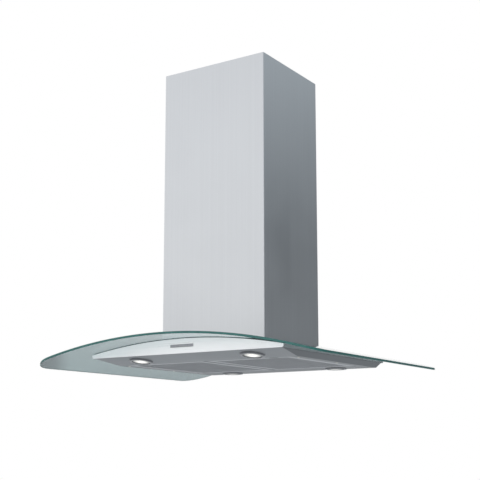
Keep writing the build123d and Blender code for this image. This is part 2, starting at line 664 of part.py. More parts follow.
# ---------------------------------------------------------------- lamps
def lamp_bezel(sx, sy):
    flange = Pos(0, 0, -BEZEL_DROP / 2) * Cone(BEZEL_TIP_R, BEZEL_R, BEZEL_DROP)
    flange -= rod_z(BEZEL_HOLE_R, -BEZEL_DROP - 1, 1)
    flange = fillet(flange.edges().group_by(Axis.Z)[0], 0.8)
    collar = tube_z(LAMP_HOLE_R - 0.4, LENS_R + 0.1, -0.5, 12)
    return lamp_place(sx, sy) * (flange + collar)


def lamp_lens(sx, sy):
    """Disc that lies in the ring's top, with a face that fills the ring and bulges a little."""
    disc = rod_z(LENS_R, 0, 3) + rod_z(LENS_FACE_R, -LENS_STEP, 1)
    ball_r = (LENS_FACE_R ** 2 + LENS_DOME ** 2) / (2 * LENS_DOME)
    ball = Pos(0, 0, ball_r - LENS_STEP - LENS_DOME) * Sphere(ball_r)
    dome = ball & rod_z(LENS_FACE_R, -LENS_STEP - LENS_DOME - 1, -LENS_STEP + 0.5)
    return lamp_place(sx, sy) * (disc + dome)


def lamp_housings():
    """Deep-drawn cups over the lamp holes."""
    cup = rod_z(CUP_R, SHEET, CUP_TOP) - rod_z(CUP_R - 0.8, 0, CUP_TOP - 1)
    cup += tube_z(CUP_R + 4, CUP_R - 0.8, SHEET, SHEET + 0.8)
    return [lamp_place(sx, sy) * cup for sx, sy in CORNERS]


def lamp_bulbs():
    """Capsule bulbs on their ceramic sockets."""
    pieces = []
    socket = box_between(-7, 7, -5, 5, CUP_TOP - 8, CUP_TOP - 1)
    capsule = rod_z(4.5, 4, CUP_TOP - 8)
    capsule = fillet(capsule.edges().group_by(Axis.Z)[0], 3.5)
    for sx, sy in CORNERS:
        pieces += [lamp_place(sx, sy) * socket, lamp_place(sx, sy) * capsule]
    return pieces


# ---------------------------------------------------------------- controls
def button_xs():
    return [i * BUTTON_PITCH for i in (-2, -1, 0, 1, 2)]


def control_bezel():
    """Bar that fills the slot in the fascia, with a rear flange and two legs for the board."""
    z = at_height(CONTROL_Z)
    half_x = CONTROL_X / 2 - 0.2
    half_z = CONTROL_HEIGHT / 2 - 0.2
    front = -BODY_Y / 2 - FASCIA_THICKNESS
    bar = box_between(-half_x, half_x, front - 0.4, front + 7, z - half_z, z + half_z)
    bar += box_between(-41.5, 41.5, front + FASCIA_THICKNESS, front + 4, z - 8, z + 8)
    for side in SIDES:
        bar += box_between(*sorted((side * 37.3, side * 41.3)), front + 3, front + 15, z - 6, z + 6)
    for x in button_xs():
        wide = BUTTON_X / 2 + 0.3
        tall = BUTTON_HEIGHT / 2 + 0.3
        bar -= box_between(x - wide, x + wide, front - 2, front + 9, z - tall, z + tall)
    return bar


def button(x):
    z = at_height(CONTROL_Z)
    front = -BODY_Y / 2 - FASCIA_THICKNESS
    low, high = z - BUTTON_HEIGHT / 2, z + BUTTON_HEIGHT / 2
    cap = box_between(x - BUTTON_X / 2, x + BUTTON_X / 2, front - 1.2, front + 9, low, high)
    cap = fillet(cap.edges().group_by(Axis.Y)[0], 0.5)
    return cap + box_between(x - 6, x + 6, front + 7.5, front + 9, z - 3.8, z + 3.8)


def control_board():
    """Circuit board with five small switch bodies behind the buttons."""
    z = at_height(CONTROL_Z)
    face = -BODY_Y / 2 - FASCIA_THICKNESS + 15
    board = box_between(-41.3, 41.3, face, face + 1.6, z - 8, z + 8)
    switches = [box_between(x - 3, x + 3, face - 3.6, face, z - 3, z + 3) for x in button_xs()]
    return [board] + switches


# ---------------------------------------------------------------- grease filters
def filter_frame(side):
    """Aluminium frame with a groove for the mesh, a latch pocket and two hinge pins."""
    centre = side * FILTER_CENTRE_X
    half_x, half_y = FILTER_X / 2, FILTER_Y / 2
    low, high = at_height(PAN_Z), at_height(PAN_Z + FILTER_THICKNESS)
    frame = box_between(centre - half_x, centre + half_x, -half_y, half_y, low, high)
    hole_x, hole_y = half_x - FILTER_RAIL, half_y - FILTER_RAIL
    frame -= box_between(centre - hole_x, centre + hole_x, -hole_y, hole_y, low - 1, high + 1)
    groove_x, groove_y = hole_x + 4, hole_y + 4
    frame -= box_between(centre - groove_x, centre + groove_x, -groove_y, groove_y, low + 2.5, high - 2.5)
    x = side * LATCH_X
    frame -= box_between(x - 15, x + 15, -half_y + 2, -half_y + 12, low - 1, high + 1)
    frame -= box_between(x - 8, x + 8, -half_y - 1, -half_y + 3, low + 3.2, high - 2)
    for end in SIDES:
        x0, x1 = sorted((centre + end * (half_x - 2), centre + end * (half_x + 3.4)))
        frame += rod_x(PIN_R, x0, x1, HINGE_Y, at_height(HINGE_Z))
    return frame


def filter_mesh(side):
    centre = side * FILTER_CENTRE_X
    half_x = FILTER_X / 2 - FILTER_RAIL + 3.5
    half_y = FILTER_Y / 2 - FILTER_RAIL + 3.5
    low = at_height(PAN_Z + 2.5)
    return box_between(centre - half_x, centre + half_x, -half_y, half_y, low, low + 3.5)


def filter_latch(side):
    """Sliding latch button with a tongue that comes flush with the frame's front edge."""
    x = side * LATCH_X
    front = -FILTER_Y / 2
    low = at_height(PAN_Z)
    body = box_between(x - 14.5, x + 14.5, front + 2.3, front + 7.5, low + 0.2, low + 8)
    body -= box_between(x - 11, x + 11, front + 3.6, front + 6.2, low - 1, low + 1.8)
    return body + box_between(x - 7.5, x + 7.5, front, front + 3, low + 3.6, low + 6.6)


# ---------------------------------------------------------------- write every node
BUTTON_NAMES = ["button_off", "button_speed_low", "button_speed_mid", "button_speed_high", "button_light"]
LAMP_NAMES = {(-1, -1): "front_left", (1, -1): "front_right", (-1, 1): "rear_left", (1, 1): "rear_right"}
SIDE_NAMES = {-1: "left", 1: "right"}

save("ceiling_plate", ceiling_plate())
save("chimney_upper", chimney_upper())
save("sleeve_screws", *sleeve_screws())
save("upper_posts", *upper_posts())
save("post_bolts", *post_bolts())

save("lower_posts", *lower_posts())
save("tie_ring", tie_ring())
save("frame_screws", *frame_screws())
save("clamp_frame", clamp_frame())
save("clamp_spacers", *clamp_spacers())
save("clamp_screws", *clamp_screws())

save("chimney_lower", chimney_lower())
save("glass_canopy", glass_canopy())
save("glass_gaskets", *glass_gaskets())

save("body_shell", body_shell())
save("fascia_front", fascia(-1))
save("fascia_rear", fascia(1))
save("belly_pan", belly_pan())
save("belly_screws", *belly_screws())

save("blower_box", blower_box())
save("scroll_left", scroll_half(-1))
save("scroll_right", scroll_half(1))
save("inlet_rings", *inlet_rings())
save("motor", motor())
save("motor_bracket", motor_bracket())
save("motor_shaft", motor_shaft())
save("impeller", impeller())
save("outlet_collar", outlet_collar())
save("damper_spindle", damper_spindle())
save("damper_flap_front", damper_flap(-1))
save("damper_flap_rear", damper_flap(1))
save("blower_screws", *blower_screws())

save("capacitor", capacitor())
save("terminal_box", terminal_box())
save("cable_gland", cable_gland())
save("lamp_transformer", lamp_transformer())

for corner, place in LAMP_NAMES.items():
    save(f"lamp_bezel_{place}", lamp_bezel(*corner))
    save(f"lamp_lens_{place}", lamp_lens(*corner))
save("lamp_housings", *lamp_housings())
save("lamp_bulbs", *lamp_bulbs())

save("control_bezel", control_bezel())
save("control_board", *control_board())
for name, x in zip(BUTTON_NAMES, button_xs()):
    save(name, button(x))

for side, word in SIDE_NAMES.items():
    save(f"filter_frame_{word}", filter_frame(side))
    save(f"filter_mesh_{word}", filter_mesh(side))
    save(f"filter_latch_{word}", filter_latch(side))
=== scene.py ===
# %% [markdown]
# # An island range hood
#
# This notebook dresses an island range hood: a brushed steel chimney that hangs from the
# ceiling, an arched sheet of green glass, and a shallow steel body below it with push
# buttons, two grease filters and four lamps. The shapes and places come from the maker's
# solid model, which is loaded first and never moved. What Blender adds is everything a
# solid model can't say: grain in the steel, tint in the glass, the links of the filter
# mesh, the ribs of the lamp lenses, and the light of a quiet studio.

# %% Load the hood
import json
import math

import bmesh
import bpy
from mathutils import Matrix, Vector


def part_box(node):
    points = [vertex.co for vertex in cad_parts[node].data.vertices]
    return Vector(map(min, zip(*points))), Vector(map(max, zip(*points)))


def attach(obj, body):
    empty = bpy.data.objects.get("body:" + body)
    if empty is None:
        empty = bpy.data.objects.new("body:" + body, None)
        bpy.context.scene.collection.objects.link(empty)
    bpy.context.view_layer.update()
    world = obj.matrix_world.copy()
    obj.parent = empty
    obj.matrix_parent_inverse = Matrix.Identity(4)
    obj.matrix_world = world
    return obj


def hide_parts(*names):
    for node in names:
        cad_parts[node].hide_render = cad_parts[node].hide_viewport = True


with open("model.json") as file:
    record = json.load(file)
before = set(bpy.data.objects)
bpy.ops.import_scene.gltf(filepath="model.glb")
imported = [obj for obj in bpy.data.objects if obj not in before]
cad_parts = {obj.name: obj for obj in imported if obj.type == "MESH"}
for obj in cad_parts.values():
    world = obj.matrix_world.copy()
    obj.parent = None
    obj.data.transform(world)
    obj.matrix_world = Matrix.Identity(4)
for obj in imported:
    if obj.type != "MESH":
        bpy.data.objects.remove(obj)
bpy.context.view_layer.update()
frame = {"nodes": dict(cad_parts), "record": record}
MM = 0.001

# %% [markdown]
# ## How the finishes are made
#
# Every finish is a small node tree round one Principled shader. A real surface is never one
# even value, so each tree starts from a pattern that sits in the object's own coordinates,
# in metres. That way the grain has its true size and stays put when a part moves. Painted
# image textures would also work, but they need unwrapped surfaces and can't be changed by
# one number. The helpers below only save typing: one starts a material, one adds a node
# with its values, one makes a pattern.

# %% Helpers for finishes
def new_finish(name, colour, metallic=0.0, roughness=0.5, **sockets):
    """A material with its Principled shader. Names in sockets use _ for spaces."""
    made = bpy.data.materials.new(name)
    made.use_nodes = True
    shader = made.node_tree.nodes["Principled BSDF"]
    shader.inputs["Base Color"].default_value = (*colour, 1)
    shader.inputs["Metallic"].default_value = metallic
    shader.inputs["Roughness"].default_value = roughness
    for socket, value in sockets.items():
        shader.inputs[socket.replace("_", " ")].default_value = value
    return made, made.node_tree, shader


def add(tree, kind, values=None, **settings):
    """Add a node, set its properties, then its inputs by name or number."""
    node = tree.nodes.new(kind)
    for key, value in settings.items():
        setattr(node, key, value)
    for socket, value in (values or {}).items():
        if isinstance(value, bpy.types.NodeSocket):
            tree.links.new(value, node.inputs[socket])
        else:
            node.inputs[socket].default_value = value
    return node


def feed(tree, shader, **sockets):
    """Link values to a shader's inputs, named in the same way."""
    for socket, value in sockets.items():
        tree.links.new(value, shader.inputs[socket.replace("_", " ")])


def own_place(tree, scale=(1, 1, 1), turn=(0, 0, 0)):
    """The piece's own coordinates in metres, stretched by scale."""
    where = add(tree, "ShaderNodeTexCoord")
    mapped = add(tree, "ShaderNodeMapping", {"Vector": where.outputs["Object"], "Scale": scale,
                                             "Rotation": turn})
    return mapped.outputs["Vector"]


def noise(tree, vector, scale, detail=3.0, rough=0.55):
    """Soft random blotches, about 1 / scale across."""
    return add(tree, "ShaderNodeTexNoise", {"Vector": vector, "Scale": scale, "Detail": detail,
                                            "Roughness": rough}).outputs["Fac"]


def spread(tree, value, low, high, at=(0.3, 0.7)):
    """Map a value from the range at, which is a noise's usual one, to low..high."""
    return add(tree, "ShaderNodeMapRange", {"Value": value, "From Min": at[0], "From Max": at[1],
                                            "To Min": low, "To Max": high}).outputs["Result"]


def mixed(tree, factor, first, second):
    """The colour first where factor is 0 and second where it is 1, each a socket or four numbers."""
    return add(tree, "ShaderNodeMix", {0: factor, 6: first, 7: second}, data_type="RGBA").outputs[2]


def shade_between(tree, factor, first, second):
    """The same for two plain colours."""
    return mixed(tree, factor, (*first, 1), (*second, 1))


def raise_by(tree, shader, height, depth, distance):
    """Bump the shader's surface by a pattern. distance is in metres."""
    bump = add(tree, "ShaderNodeBump", {"Height": height, "Strength": depth, "Distance": distance})
    feed(tree, shader, Normal=bump.outputs["Normal"])


print("helpers ready")

# %% [markdown]
# ## Brushed steel
#
# The chimney, fascias, body and belly pan are stainless sheet, brushed along one direction
# with an abrasive belt. The marks are about half a millimetre apart and run far along the
# sheet, so a noise pattern stretched a few hundred times along the grain copies them well.
# The grain drives roughness and a very shallow bump. A second, slow noise makes the soft,
# cloudy differences that handling and cleaning leave on real steel. The fascia is the
# palest sheet. The body is a heavier, darker grade. The pan has three darker copies of
# steel, as painted shade where it faces down: one for its leaning front strip, one for its
# flat floor, and the darkest for the skirt that slopes up round it.

# %% Brushed steel
def brushed(name, colour, grain, roughness, mark=1600.0, metallic=1.0):
    """grain is the letter of the axis that the brush marks follow, mark their number in a metre."""
    along, cloud = 6.0, 0.03
    made, tree, shader = new_finish(name, colour, metallic=metallic, roughness=roughness)
    stretch = tuple(along if axis == grain else mark for axis in "xyz")
    marks = noise(tree, own_place(tree, stretch), 1.0, detail=4.0, rough=0.6)
    wider = tuple(s * 0.12 for s in stretch)
    coarse = noise(tree, own_place(tree, wider), 1.0, detail=2.0)
    clouds = noise(tree, own_place(tree), 4.0, detail=2.0)
    both = add(tree, "ShaderNodeMath", {0: marks, 1: coarse}, operation="ADD").outputs[0]
    rough = spread(tree, both, roughness - 0.03, roughness + 0.03, at=(0.7, 1.3))
    cloudy = spread(tree, clouds, -cloud, cloud)
    total = add(tree, "ShaderNodeMath", {0: rough, 1: cloudy}, operation="ADD").outputs[0]
    darker = tuple(c * 0.975 for c in colour)
    lighter = tuple(min(1.0, c * 1.02) for c in colour)
    tone = shade_between(tree, spread(tree, both, 0, 1, at=(0.75, 1.25)), darker, lighter)
    feed(tree, shader, Roughness=total, Base_Color=tone)
    raise_by(tree, shader, marks, 0.05, 0.2 * MM)
    return made


chimney_steel = brushed("Chimney steel", (0.72, 0.73, 0.745), "z", 0.34)
fascia_steel = brushed("Fascia steel", (0.90, 0.895, 0.90), "x", 0.30, metallic=0.5)
side_steel = brushed("Body side steel", (0.48, 0.49, 0.50), "x", 0.36)
# Painted shade: the pan's three steels are darkened copies of one steel, the skirt darkest.
pan_shade_steel = brushed("Belly pan shaded steel", (0.28, 0.293, 0.307), "x", 0.40)
floor_shade_steel = brushed("Pan floor shaded steel", (0.22, 0.231, 0.242), "x", 0.40)
skirt_shade_steel = brushed("Pan skirt shaded steel", (0.18, 0.19, 0.20), "x", 0.38)
steels = (chimney_steel, fascia_steel, side_steel, pan_shade_steel, floor_shade_steel, skirt_shade_steel)
print("brushed steels", [steel.name for steel in steels])

# %% [markdown]
# ## Galvanised sheet, plated steel and aluminium
#
# The parts nobody sees are made from galvanised sheet. Its zinc coat freezes in flat
# crystals, the spangle, and each crystal reflects a little differently. Voronoi cells give
# that look, because every cell has its own random shade. Screws and spacers are
# zinc-plated, with faint yellow patches. The lamp rims are chrome darkened with painted
# shade, smooth enough to mirror the room. The filter frames are extruded aluminium, duller
# than steel and finely drawn along their length, and so made by the brushed steel's
# function. Ground and cast metals have no direction, so they get plain, even noise instead.

# %% Zinc, chrome and aluminium
def spangled(name, colour, cell=55.0):
    """Zinc-coated sheet with crystals of about a metre divided by cell."""
    made, tree, shader = new_finish(name, colour, metallic=0.85, roughness=0.45)
    place = own_place(tree)
    bent = noise(tree, place, 40.0, detail=2.0)
    cells = add(tree, "ShaderNodeTexVoronoi", {"Vector": place, "Scale": cell, "Randomness": 1.0})
    shade = add(tree, "ShaderNodeSeparateColor", {"Color": cells.outputs["Color"]}).outputs["Red"]
    dark = tuple(c * 0.82 for c in colour)
    light = tuple(min(1, c * 1.08) for c in colour)
    feed(tree, shader, Base_Color=shade_between(tree, shade, dark, light),
         Roughness=spread(tree, shade, 0.36, 0.54, at=(0, 1)))
    raise_by(tree, shader, bent, 0.08, 0.3 * MM)
    return made


def cast_metal(name, colour, roughness, tint=None, fine=900.0, depth=0.05):
    """Plain metal with fine roughness and, if tint is given, patches of a second colour."""
    made, tree, shader = new_finish(name, colour, metallic=1.0, roughness=roughness)
    grainy = noise(tree, own_place(tree), fine, detail=3.0)
    patches = noise(tree, own_place(tree), fine * 0.06, detail=2.0)
    uneven = spread(tree, grainy, roughness * 0.8, roughness * 1.25)
    second = tint or tuple(c * 0.95 for c in colour)
    tone = shade_between(tree, spread(tree, patches, 0, 1), colour, second)
    feed(tree, shader, Roughness=uneven, Base_Color=tone)
    raise_by(tree, shader, grainy, depth, 0.2 * MM)
    return made


galvanised = spangled("Galvanised sheet", (0.58, 0.60, 0.61))
zinc_plate = cast_metal("Zinc plate", (0.66, 0.66, 0.64), 0.30, tint=(0.68, 0.64, 0.52))
# Painted shade: the rim chrome is darkened to stand for the shadow round each lamp.
shaded_lamp_rim = cast_metal("Chrome with painted shade", (0.16, 0.165, 0.175), 0.16, depth=0.01)
ground_steel = cast_metal("Ground shaft steel", (0.58, 0.58, 0.59), 0.22, depth=0.03)
filter_aluminium = brushed("Filter aluminium", (0.48, 0.49, 0.505), "y", 0.44, mark=1100)
mesh_aluminium = cast_metal("Filter mesh aluminium", (0.56, 0.57, 0.585), 0.40, fine=500)
other_metals = (galvanised, zinc_plate, shaded_lamp_rim, ground_steel, filter_aluminium, mesh_aluminium)
print("other metals", [metal.name for metal in other_metals])

# %% [markdown]
# ## The glass
#
# The canopy is 6 mm toughened float glass with a green tint from the iron in it. Looked
# through its faces it is nearly clear. Looked at edge on, light has come a long way through
# it, so the polished edge is a dark bottle green. Volume absorption would give both from one
# material but is slow and noisy, and it is lost in export. So the faces and the edge get a
# finish each. Lamps have to shine through glass, which refraction alone hides from them, so
# shadow rays meet a Transparent shader instead.

# %% Glass finishes
GLASS_IOR = 1.52


def clear_glass(name, colour, shadow, roughness=0.01):
    """Glass that tints what is seen through it by colour, and the light it lets by with shadow."""
    made, tree, shader = new_finish(name, colour, roughness=roughness, IOR=GLASS_IOR,
                                    Transmission_Weight=1.0)
    slow = noise(tree, own_place(tree), 3.0, detail=2.0)
    deeper = tuple(c * 0.96 for c in colour)
    tone = shade_between(tree, spread(tree, slow, 0, 1), colour, deeper)
    feed(tree, shader, Base_Color=tone)
    path = add(tree, "ShaderNodeLightPath")
    through = add(tree, "ShaderNodeBsdfTransparent", {"Color": (*shadow, 1)})
    mix = add(tree, "ShaderNodeMixShader", {0: path.outputs["Is Shadow Ray"], 1: shader.outputs[0],
                                            2: through.outputs[0]})
    tree.links.new(mix.outputs[0], tree.nodes["Material Output"].inputs["Surface"])
    return made


canopy_glass = clear_glass("Canopy glass", (0.49, 0.65, 0.65), (0.76, 0.87, 0.86))
bulb_glass = clear_glass("Bulb glass", (0.95, 0.95, 0.92), (0.95, 0.95, 0.92), 0.03)

glass_edge, tree, shader = new_finish("Polished glass edge", (0.02, 0.11, 0.10), roughness=0.16,
                                      IOR=GLASS_IOR, Transmission_Weight=0.25)
streaks = noise(tree, own_place(tree, (60, 60, 900)), 1.0, detail=3.0)
bottle_green = shade_between(tree, spread(tree, streaks, 0, 1), (0.015, 0.09, 0.085),
                             (0.05, 0.19, 0.17))
feed(tree, shader, Base_Color=bottle_green, Roughness=spread(tree, streaks, 0.1, 0.24))
print("glass", [glass.name for glass in (canopy_glass, bulb_glass, glass_edge)])

# %% [markdown]
# ## Plastics, rubber and paint
#
# Moulded plastic carries the fine spark-eroded texture of its tool, which a small, dense
# noise bump imitates. The button caps are glossier and a shade darker than their bezel, so
# that fingers and eyes find them. Rubber is the dullest of all, with talc left in it.

# %% Plastics and paint
def moulded(name, colour, roughness, skin=1400.0, depth=0.10, coat=0.0):
    """Plastic, rubber or paint. skin is how many bumps its texture has in a metre."""
    made, tree, shader = new_finish(name, colour, roughness=roughness, Coat_Weight=coat,
                                    Coat_Roughness=0.2)
    texture = noise(tree, own_place(tree), skin, detail=2.0)
    wear = noise(tree, own_place(tree), 30.0, detail=3.0)
    uneven = spread(tree, wear, roughness - 0.06, roughness + 0.06)
    faded = tuple(min(1.0, c * 1.12 + 0.004) for c in colour)
    tone = shade_between(tree, spread(tree, wear, 0, 1), colour, faded)
    feed(tree, shader, Roughness=uneven, Base_Color=tone)
    raise_by(tree, shader, texture, depth, 0.3 * MM)
    return made


dark_moulding = moulded("Dark moulding", (0.055, 0.06, 0.065), 0.42)
bezel_plastic = moulded("Control bezel plastic", (0.31, 0.315, 0.328), 0.42)
button_plastic = moulded("Button plastic", (0.28, 0.285, 0.30), 0.34, depth=0.05, coat=0.2)
rubber_strip = moulded("Rubber strip", (0.035, 0.036, 0.038), 0.82, skin=700, depth=0.2)
motor_paint = moulded("Motor paint", (0.045, 0.045, 0.05), 0.48, skin=600, depth=0.25)
white_moulding = moulded("White moulding", (0.80, 0.80, 0.77), 0.36)
fan_plastic = moulded("Fan plastic", (0.06, 0.065, 0.07), 0.46)
mouldings = (dark_moulding, bezel_plastic, button_plastic, rubber_strip, motor_paint, white_moulding,
             fan_plastic)
print("plastics and paint", [moulding.name for moulding in mouldings])

# %% [markdown]
# ## Circuit board and lamp lens
#
# The board behind the buttons is green solder mask over copper tracks, and a fine brick
# pattern stands in for the tracks. The lens of a hood lamp is pressed glass, frosted
# inside, with a lamp burning behind it, so it glows a little of itself, most in the middle.
# Its colour is painted from pale in the middle to grey at the rim, as shade beside the ring.
# One lens finish serves all four. The lamps sit evenly about the hood's middle, so the
# absolute value of a point's place folds all four quarters of the hood into one, and the
# distance to the one lamp there says how bright the lens is. The two front lamps light the
# worktop, and the rear pair is dimmed.

# %% Circuit board
board_green, tree, shader = new_finish("Circuit board green", (0.03, 0.16, 0.07), roughness=0.35,
                                       Coat_Weight=0.4)
tracks = add(tree, "ShaderNodeTexBrick", {
    "Vector": own_place(tree, turn=(math.pi / 2, 0, 0)), "Scale": 260.0, "Mortar Size": 0.06,
    "Color1": (0.03, 0.16, 0.07, 1), "Color2": (0.035, 0.19, 0.085, 1),
    "Mortar": (0.09, 0.30, 0.12, 1)})
feed(tree, shader, Base_Color=tracks.outputs["Color"])
print("board", board_green.name)

# %% Lamp lens
LAMP_X, LAMP_Y = 182 * MM, 228 * MM
BRIGHT_R, DARK_R = 4 * MM, 24 * MM
REAR_DIMMING = 0.75
lamp_glow, tree, shader = new_finish("Frosted lamp lens", (0.93, 0.93, 0.90), roughness=0.45, IOR=1.5,
                                     Transmission_Weight=0.35, Emission_Strength=0.75)
frost = noise(tree, own_place(tree), 1200.0, detail=2.0)
feed(tree, shader, Roughness=spread(tree, frost, 0.38, 0.55))
flat_place = own_place(tree, scale=(1, 1, 0))
quarter = add(tree, "ShaderNodeVectorMath", {0: flat_place}, operation="ABSOLUTE").outputs["Vector"]
from_bulb = add(tree, "ShaderNodeVectorMath", {0: quarter, 1: (LAMP_X, LAMP_Y, 0)},
                operation="DISTANCE").outputs["Value"]
outward = spread(tree, from_bulb, 0, 1, at=(BRIGHT_R, DARK_R))
# Painted shade: the lens colour goes from pale in the middle to grey at its rim.
tone = shade_between(tree, outward, (0.80, 0.79, 0.76), (0.26, 0.27, 0.28))
feed(tree, shader, Base_Color=tone)
front_to_rear = add(tree, "ShaderNodeSeparateXYZ", {"Vector": own_place(tree)}).outputs["Y"]
dimming = spread(tree, front_to_rear, 0.0, REAR_DIMMING, at=(-10 * MM, 10 * MM))
darkening = add(tree, "ShaderNodeMath", {0: outward, 1: dimming}, operation="MAXIMUM").outputs[0]
glowing = shade_between(tree, darkening, (1.0, 0.98, 0.93), (0.0, 0.0, 0.0))
feed(tree, shader, Emission_Color=glowing)
raise_by(tree, shader, frost, 0.2, 0.3 * MM)
print("lens", lamp_glow.name, "with", len(tree.nodes), "nodes")

# %% [markdown]
# ## Dressing the solid model
#
# Each node of the solid model names the material slot it is made of. A dictionary from slot
# to finish dresses them all at once. The few nodes whose finish differs from their slot's,
# such as the belly pan, are named after it.

# %% Give every node its finish
SLOT_FINISH = {
    "brushed_steel": chimney_steel, "fascia_steel": fascia_steel, "galvanised": galvanised,
    "canopy_glass": canopy_glass, "rubber": rubber_strip, "chrome": shaded_lamp_rim,
    "zinc_steel": zinc_plate, "lamp_glass": lamp_glow, "aluminium": filter_aluminium,
    "aluminium_mesh": mesh_aluminium, "dark_plastic": dark_moulding,
    "control_plastic": bezel_plastic, "button_plastic": button_plastic,
    "black_steel": motor_paint, "shaft_steel": ground_steel, "white_plastic": white_moulding,
    "circuit_board": board_green, "bulb_glass": bulb_glass,
}
NODE_SLOT = {s["node"]: s["material_slot"] for s in frame["record"]["subparts"]}
OWN_FINISH = {"belly_pan": pan_shade_steel, "body_shell": side_steel, "impeller": fan_plastic,
              "inlet_rings": fan_plastic}


def finish_of(node):
    """A node's own finish, or else that of its slot."""
    return OWN_FINISH.get(node, SLOT_FINISH[NODE_SLOT[node]])


for node, piece in frame["nodes"].items():
    piece.data.materials.clear()
    piece.data.materials.append(finish_of(node))
print("dressed", len(frame["nodes"]), "nodes in", len(set(NODE_SLOT.values())), "slots")

# %% [markdown]
# ## Helpers for better shapes
#
# Some nodes deserve a finer mesh than the solid model's. Such a piece sits at the origin
# with its place in its mesh, hides the node it stands for, and rides on that node's body.
# Folded and machined parts get their edges eased by a fraction of a millimetre: no real
# edge is perfectly sharp, and the thin highlight along it tells the eye that it is metal.
# Bevelling the solid model itself isn't possible, as its mesh is loose triangles, so a copy
# is welded, cleared of the lines inside flat faces, and then bevelled.

# %% Helpers for shapes
NODE_BODY = {n: b for b, members in frame["record"]["behaviour"]["bodies"].items() for n in members}


def in_scene(name, data):
    """A new object of a mesh, a lamp or a camera, linked to the scene."""
    made = bpy.data.objects.new(name, data)
    bpy.context.scene.collection.objects.link(made)
    return made


def as_piece(name, mesh, node, *finishes):
    """Put a mesh in the scene as a piece that stands for a node. It may have its finish already."""
    mesh.name = name
    piece = in_scene(name, mesh)
    for finish in finishes:
        mesh.materials.append(finish)
    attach(piece, NODE_BODY[node])
    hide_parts(node)
    return piece


def settled(piece):
    """The mesh of an object with its modifiers applied. The object is removed."""
    bpy.context.view_layer.update()
    shaped = piece.evaluated_get(bpy.context.evaluated_depsgraph_get())
    mesh = bpy.data.meshes.new_from_object(shaped)
    bpy.data.objects.remove(piece)
    return mesh


def eased(node, name, width):
    """A welded, bevelled copy of a node."""
    mesh = frame["nodes"][node].data.copy()
    work = bmesh.new()
    work.from_mesh(mesh)
    bmesh.ops.remove_doubles(work, verts=work.verts, dist=2e-6)
    bmesh.ops.dissolve_limit(work, angle_limit=math.radians(0.1), verts=work.verts, edges=work.edges,
                             use_dissolve_boundaries=False)
    work.to_mesh(mesh)
    work.free()
    if "custom_normal" in mesh.attributes:
        mesh.attributes.remove(mesh.attributes["custom_normal"])
    mesh.shade_smooth()
    copy = in_scene(name + "_work", mesh)
    bevel = copy.modifiers.new("Eased edges", "BEVEL")
    bevel.width, bevel.segments = width, 2
    bevel.limit_method, bevel.angle_limit = "ANGLE", math.radians(40)
    bevel.harden_normals = True
    return as_piece(name, settled(copy), node)


# %% Ease the edges of sheet and machined parts
eased("fascia_front", "front_fascia", 0.7 * MM)
eased("fascia_rear", "rear_fascia", 0.7 * MM)
eased("control_bezel", "control_bar", 0.25 * MM)
for side in ("left", "right"):
    eased("filter_frame_" + side, f"filter_rim_{side}", 0.6 * MM)
    eased("filter_latch_" + side, f"latch_slide_{side}", 0.3 * MM)
eased("terminal_box", "terminal_cover", 0.8 * MM)
eased("lamp_transformer", "lamp_supply", 0.8 * MM)
pan = eased("belly_pan", "underside_pan", 0.5 * MM)

# %% [markdown]
# ## Three shaded steels on the belly pan
#
# The pan is pressed from one sheet, but its faces meet the light in such different ways
# that each kind gets its own darker copy of the steel, as painted shade. Which kind a face
# is can be read from its normal, so the whole pan stays one mesh: level faces are the floor
# and sloping ones the skirt. The front strip, which leans only a little, and the upright
# edges keep the pan's first steel. The narrow level strip between the two filters gets the
# skirt's darkest steel, as painted shade for the gap between them.

# %% Sort the pan's faces
LEVEL, LEANING, UPRIGHT = 0.001, 0.04, 0.75
DIVIDER_HALF = 30 * MM
SKIRT, LAND = 1, 2
pan.data.materials.append(skirt_shade_steel)
pan.data.materials.append(floor_shade_steel)
# Painted shade: sloping faces and the strip between the filters get the darkest steel, level faces a
# darker one.
for polygon in pan.data.polygons:
    tilt = 1 - abs(polygon.normal.z)
    between_filters = tilt < LEVEL and abs(polygon.center.x) < DIVIDER_HALF
    if between_filters or LEANING < tilt < UPRIGHT:
        polygon.material_index = SKIRT
    elif tilt < LEVEL:
        polygon.material_index = LAND
for kind, steel in enumerate(pan.data.materials):
    print(steel.name, "on", sum(p.material_index == kind for p in pan.data.polygons), "faces")

# %% [markdown]
# ## The glass canopy
#
# A flat sheet with rounded corners and a rectangular hole is cut, its edges are ground and
# polished to a small bevel, and then it is bent over a mould to a large radius. The mesh is
# made in the same order: fill the outline flat, thicken it, bevel the rims, slice it across
# so that it can bend, then lift each point onto the arch. Building it already curved would
# need far more care to keep its two faces exactly parallel, and refraction shows any error.

# %% Measure the sheet
glass_low, glass_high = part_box("glass_canopy")
THICK = 6 * MM
HALF_X = glass_high.x
HALF_Y = glass_high.y
CORNER = 75 * MM
TOP_RADIUS = 1620 * MM
AXIS_Z = glass_high.z - TOP_RADIUS
HOLE_X, HOLE_Y, HOLE_CORNER = 145 * MM, 125 * MM, 20 * MM
print("sheet", [round(c, 4) for c in glass_high - glass_low], "arch axis at", round(AXIS_Z, 4))


# %% Draw its outlines
def rounded_loop(half_x, half_y, corner, steps):
    """The points of a rectangle with rounded corners, steps to a corner."""
    points = []
    for sx, sy, start in ((1, 1, 0), (-1, 1, 90), (-1, -1, 180), (1, -1, 270)):
        for k in range(steps + 1):
            angle = math.radians(start + 90 * k / steps)
            points.append((sx * (half_x - corner) + corner * math.cos(angle),
                           sy * (half_y - corner) + corner * math.sin(angle)))
    return points


work = bmesh.new()
for loop in (rounded_loop(HALF_X, HALF_Y, CORNER, 16), rounded_loop(HOLE_X, HOLE_Y, HOLE_CORNER, 8)):
    verts = [work.verts.new((x, y, 0)) for x, y in loop]
    for one, other in zip(verts, verts[1:] + verts[:1]):
        work.edges.new((one, other))
bmesh.ops.triangle_fill(work, use_beauty=True, use_dissolve=False, edges=work.edges[:])
print("flat blank", len(work.faces), "faces")

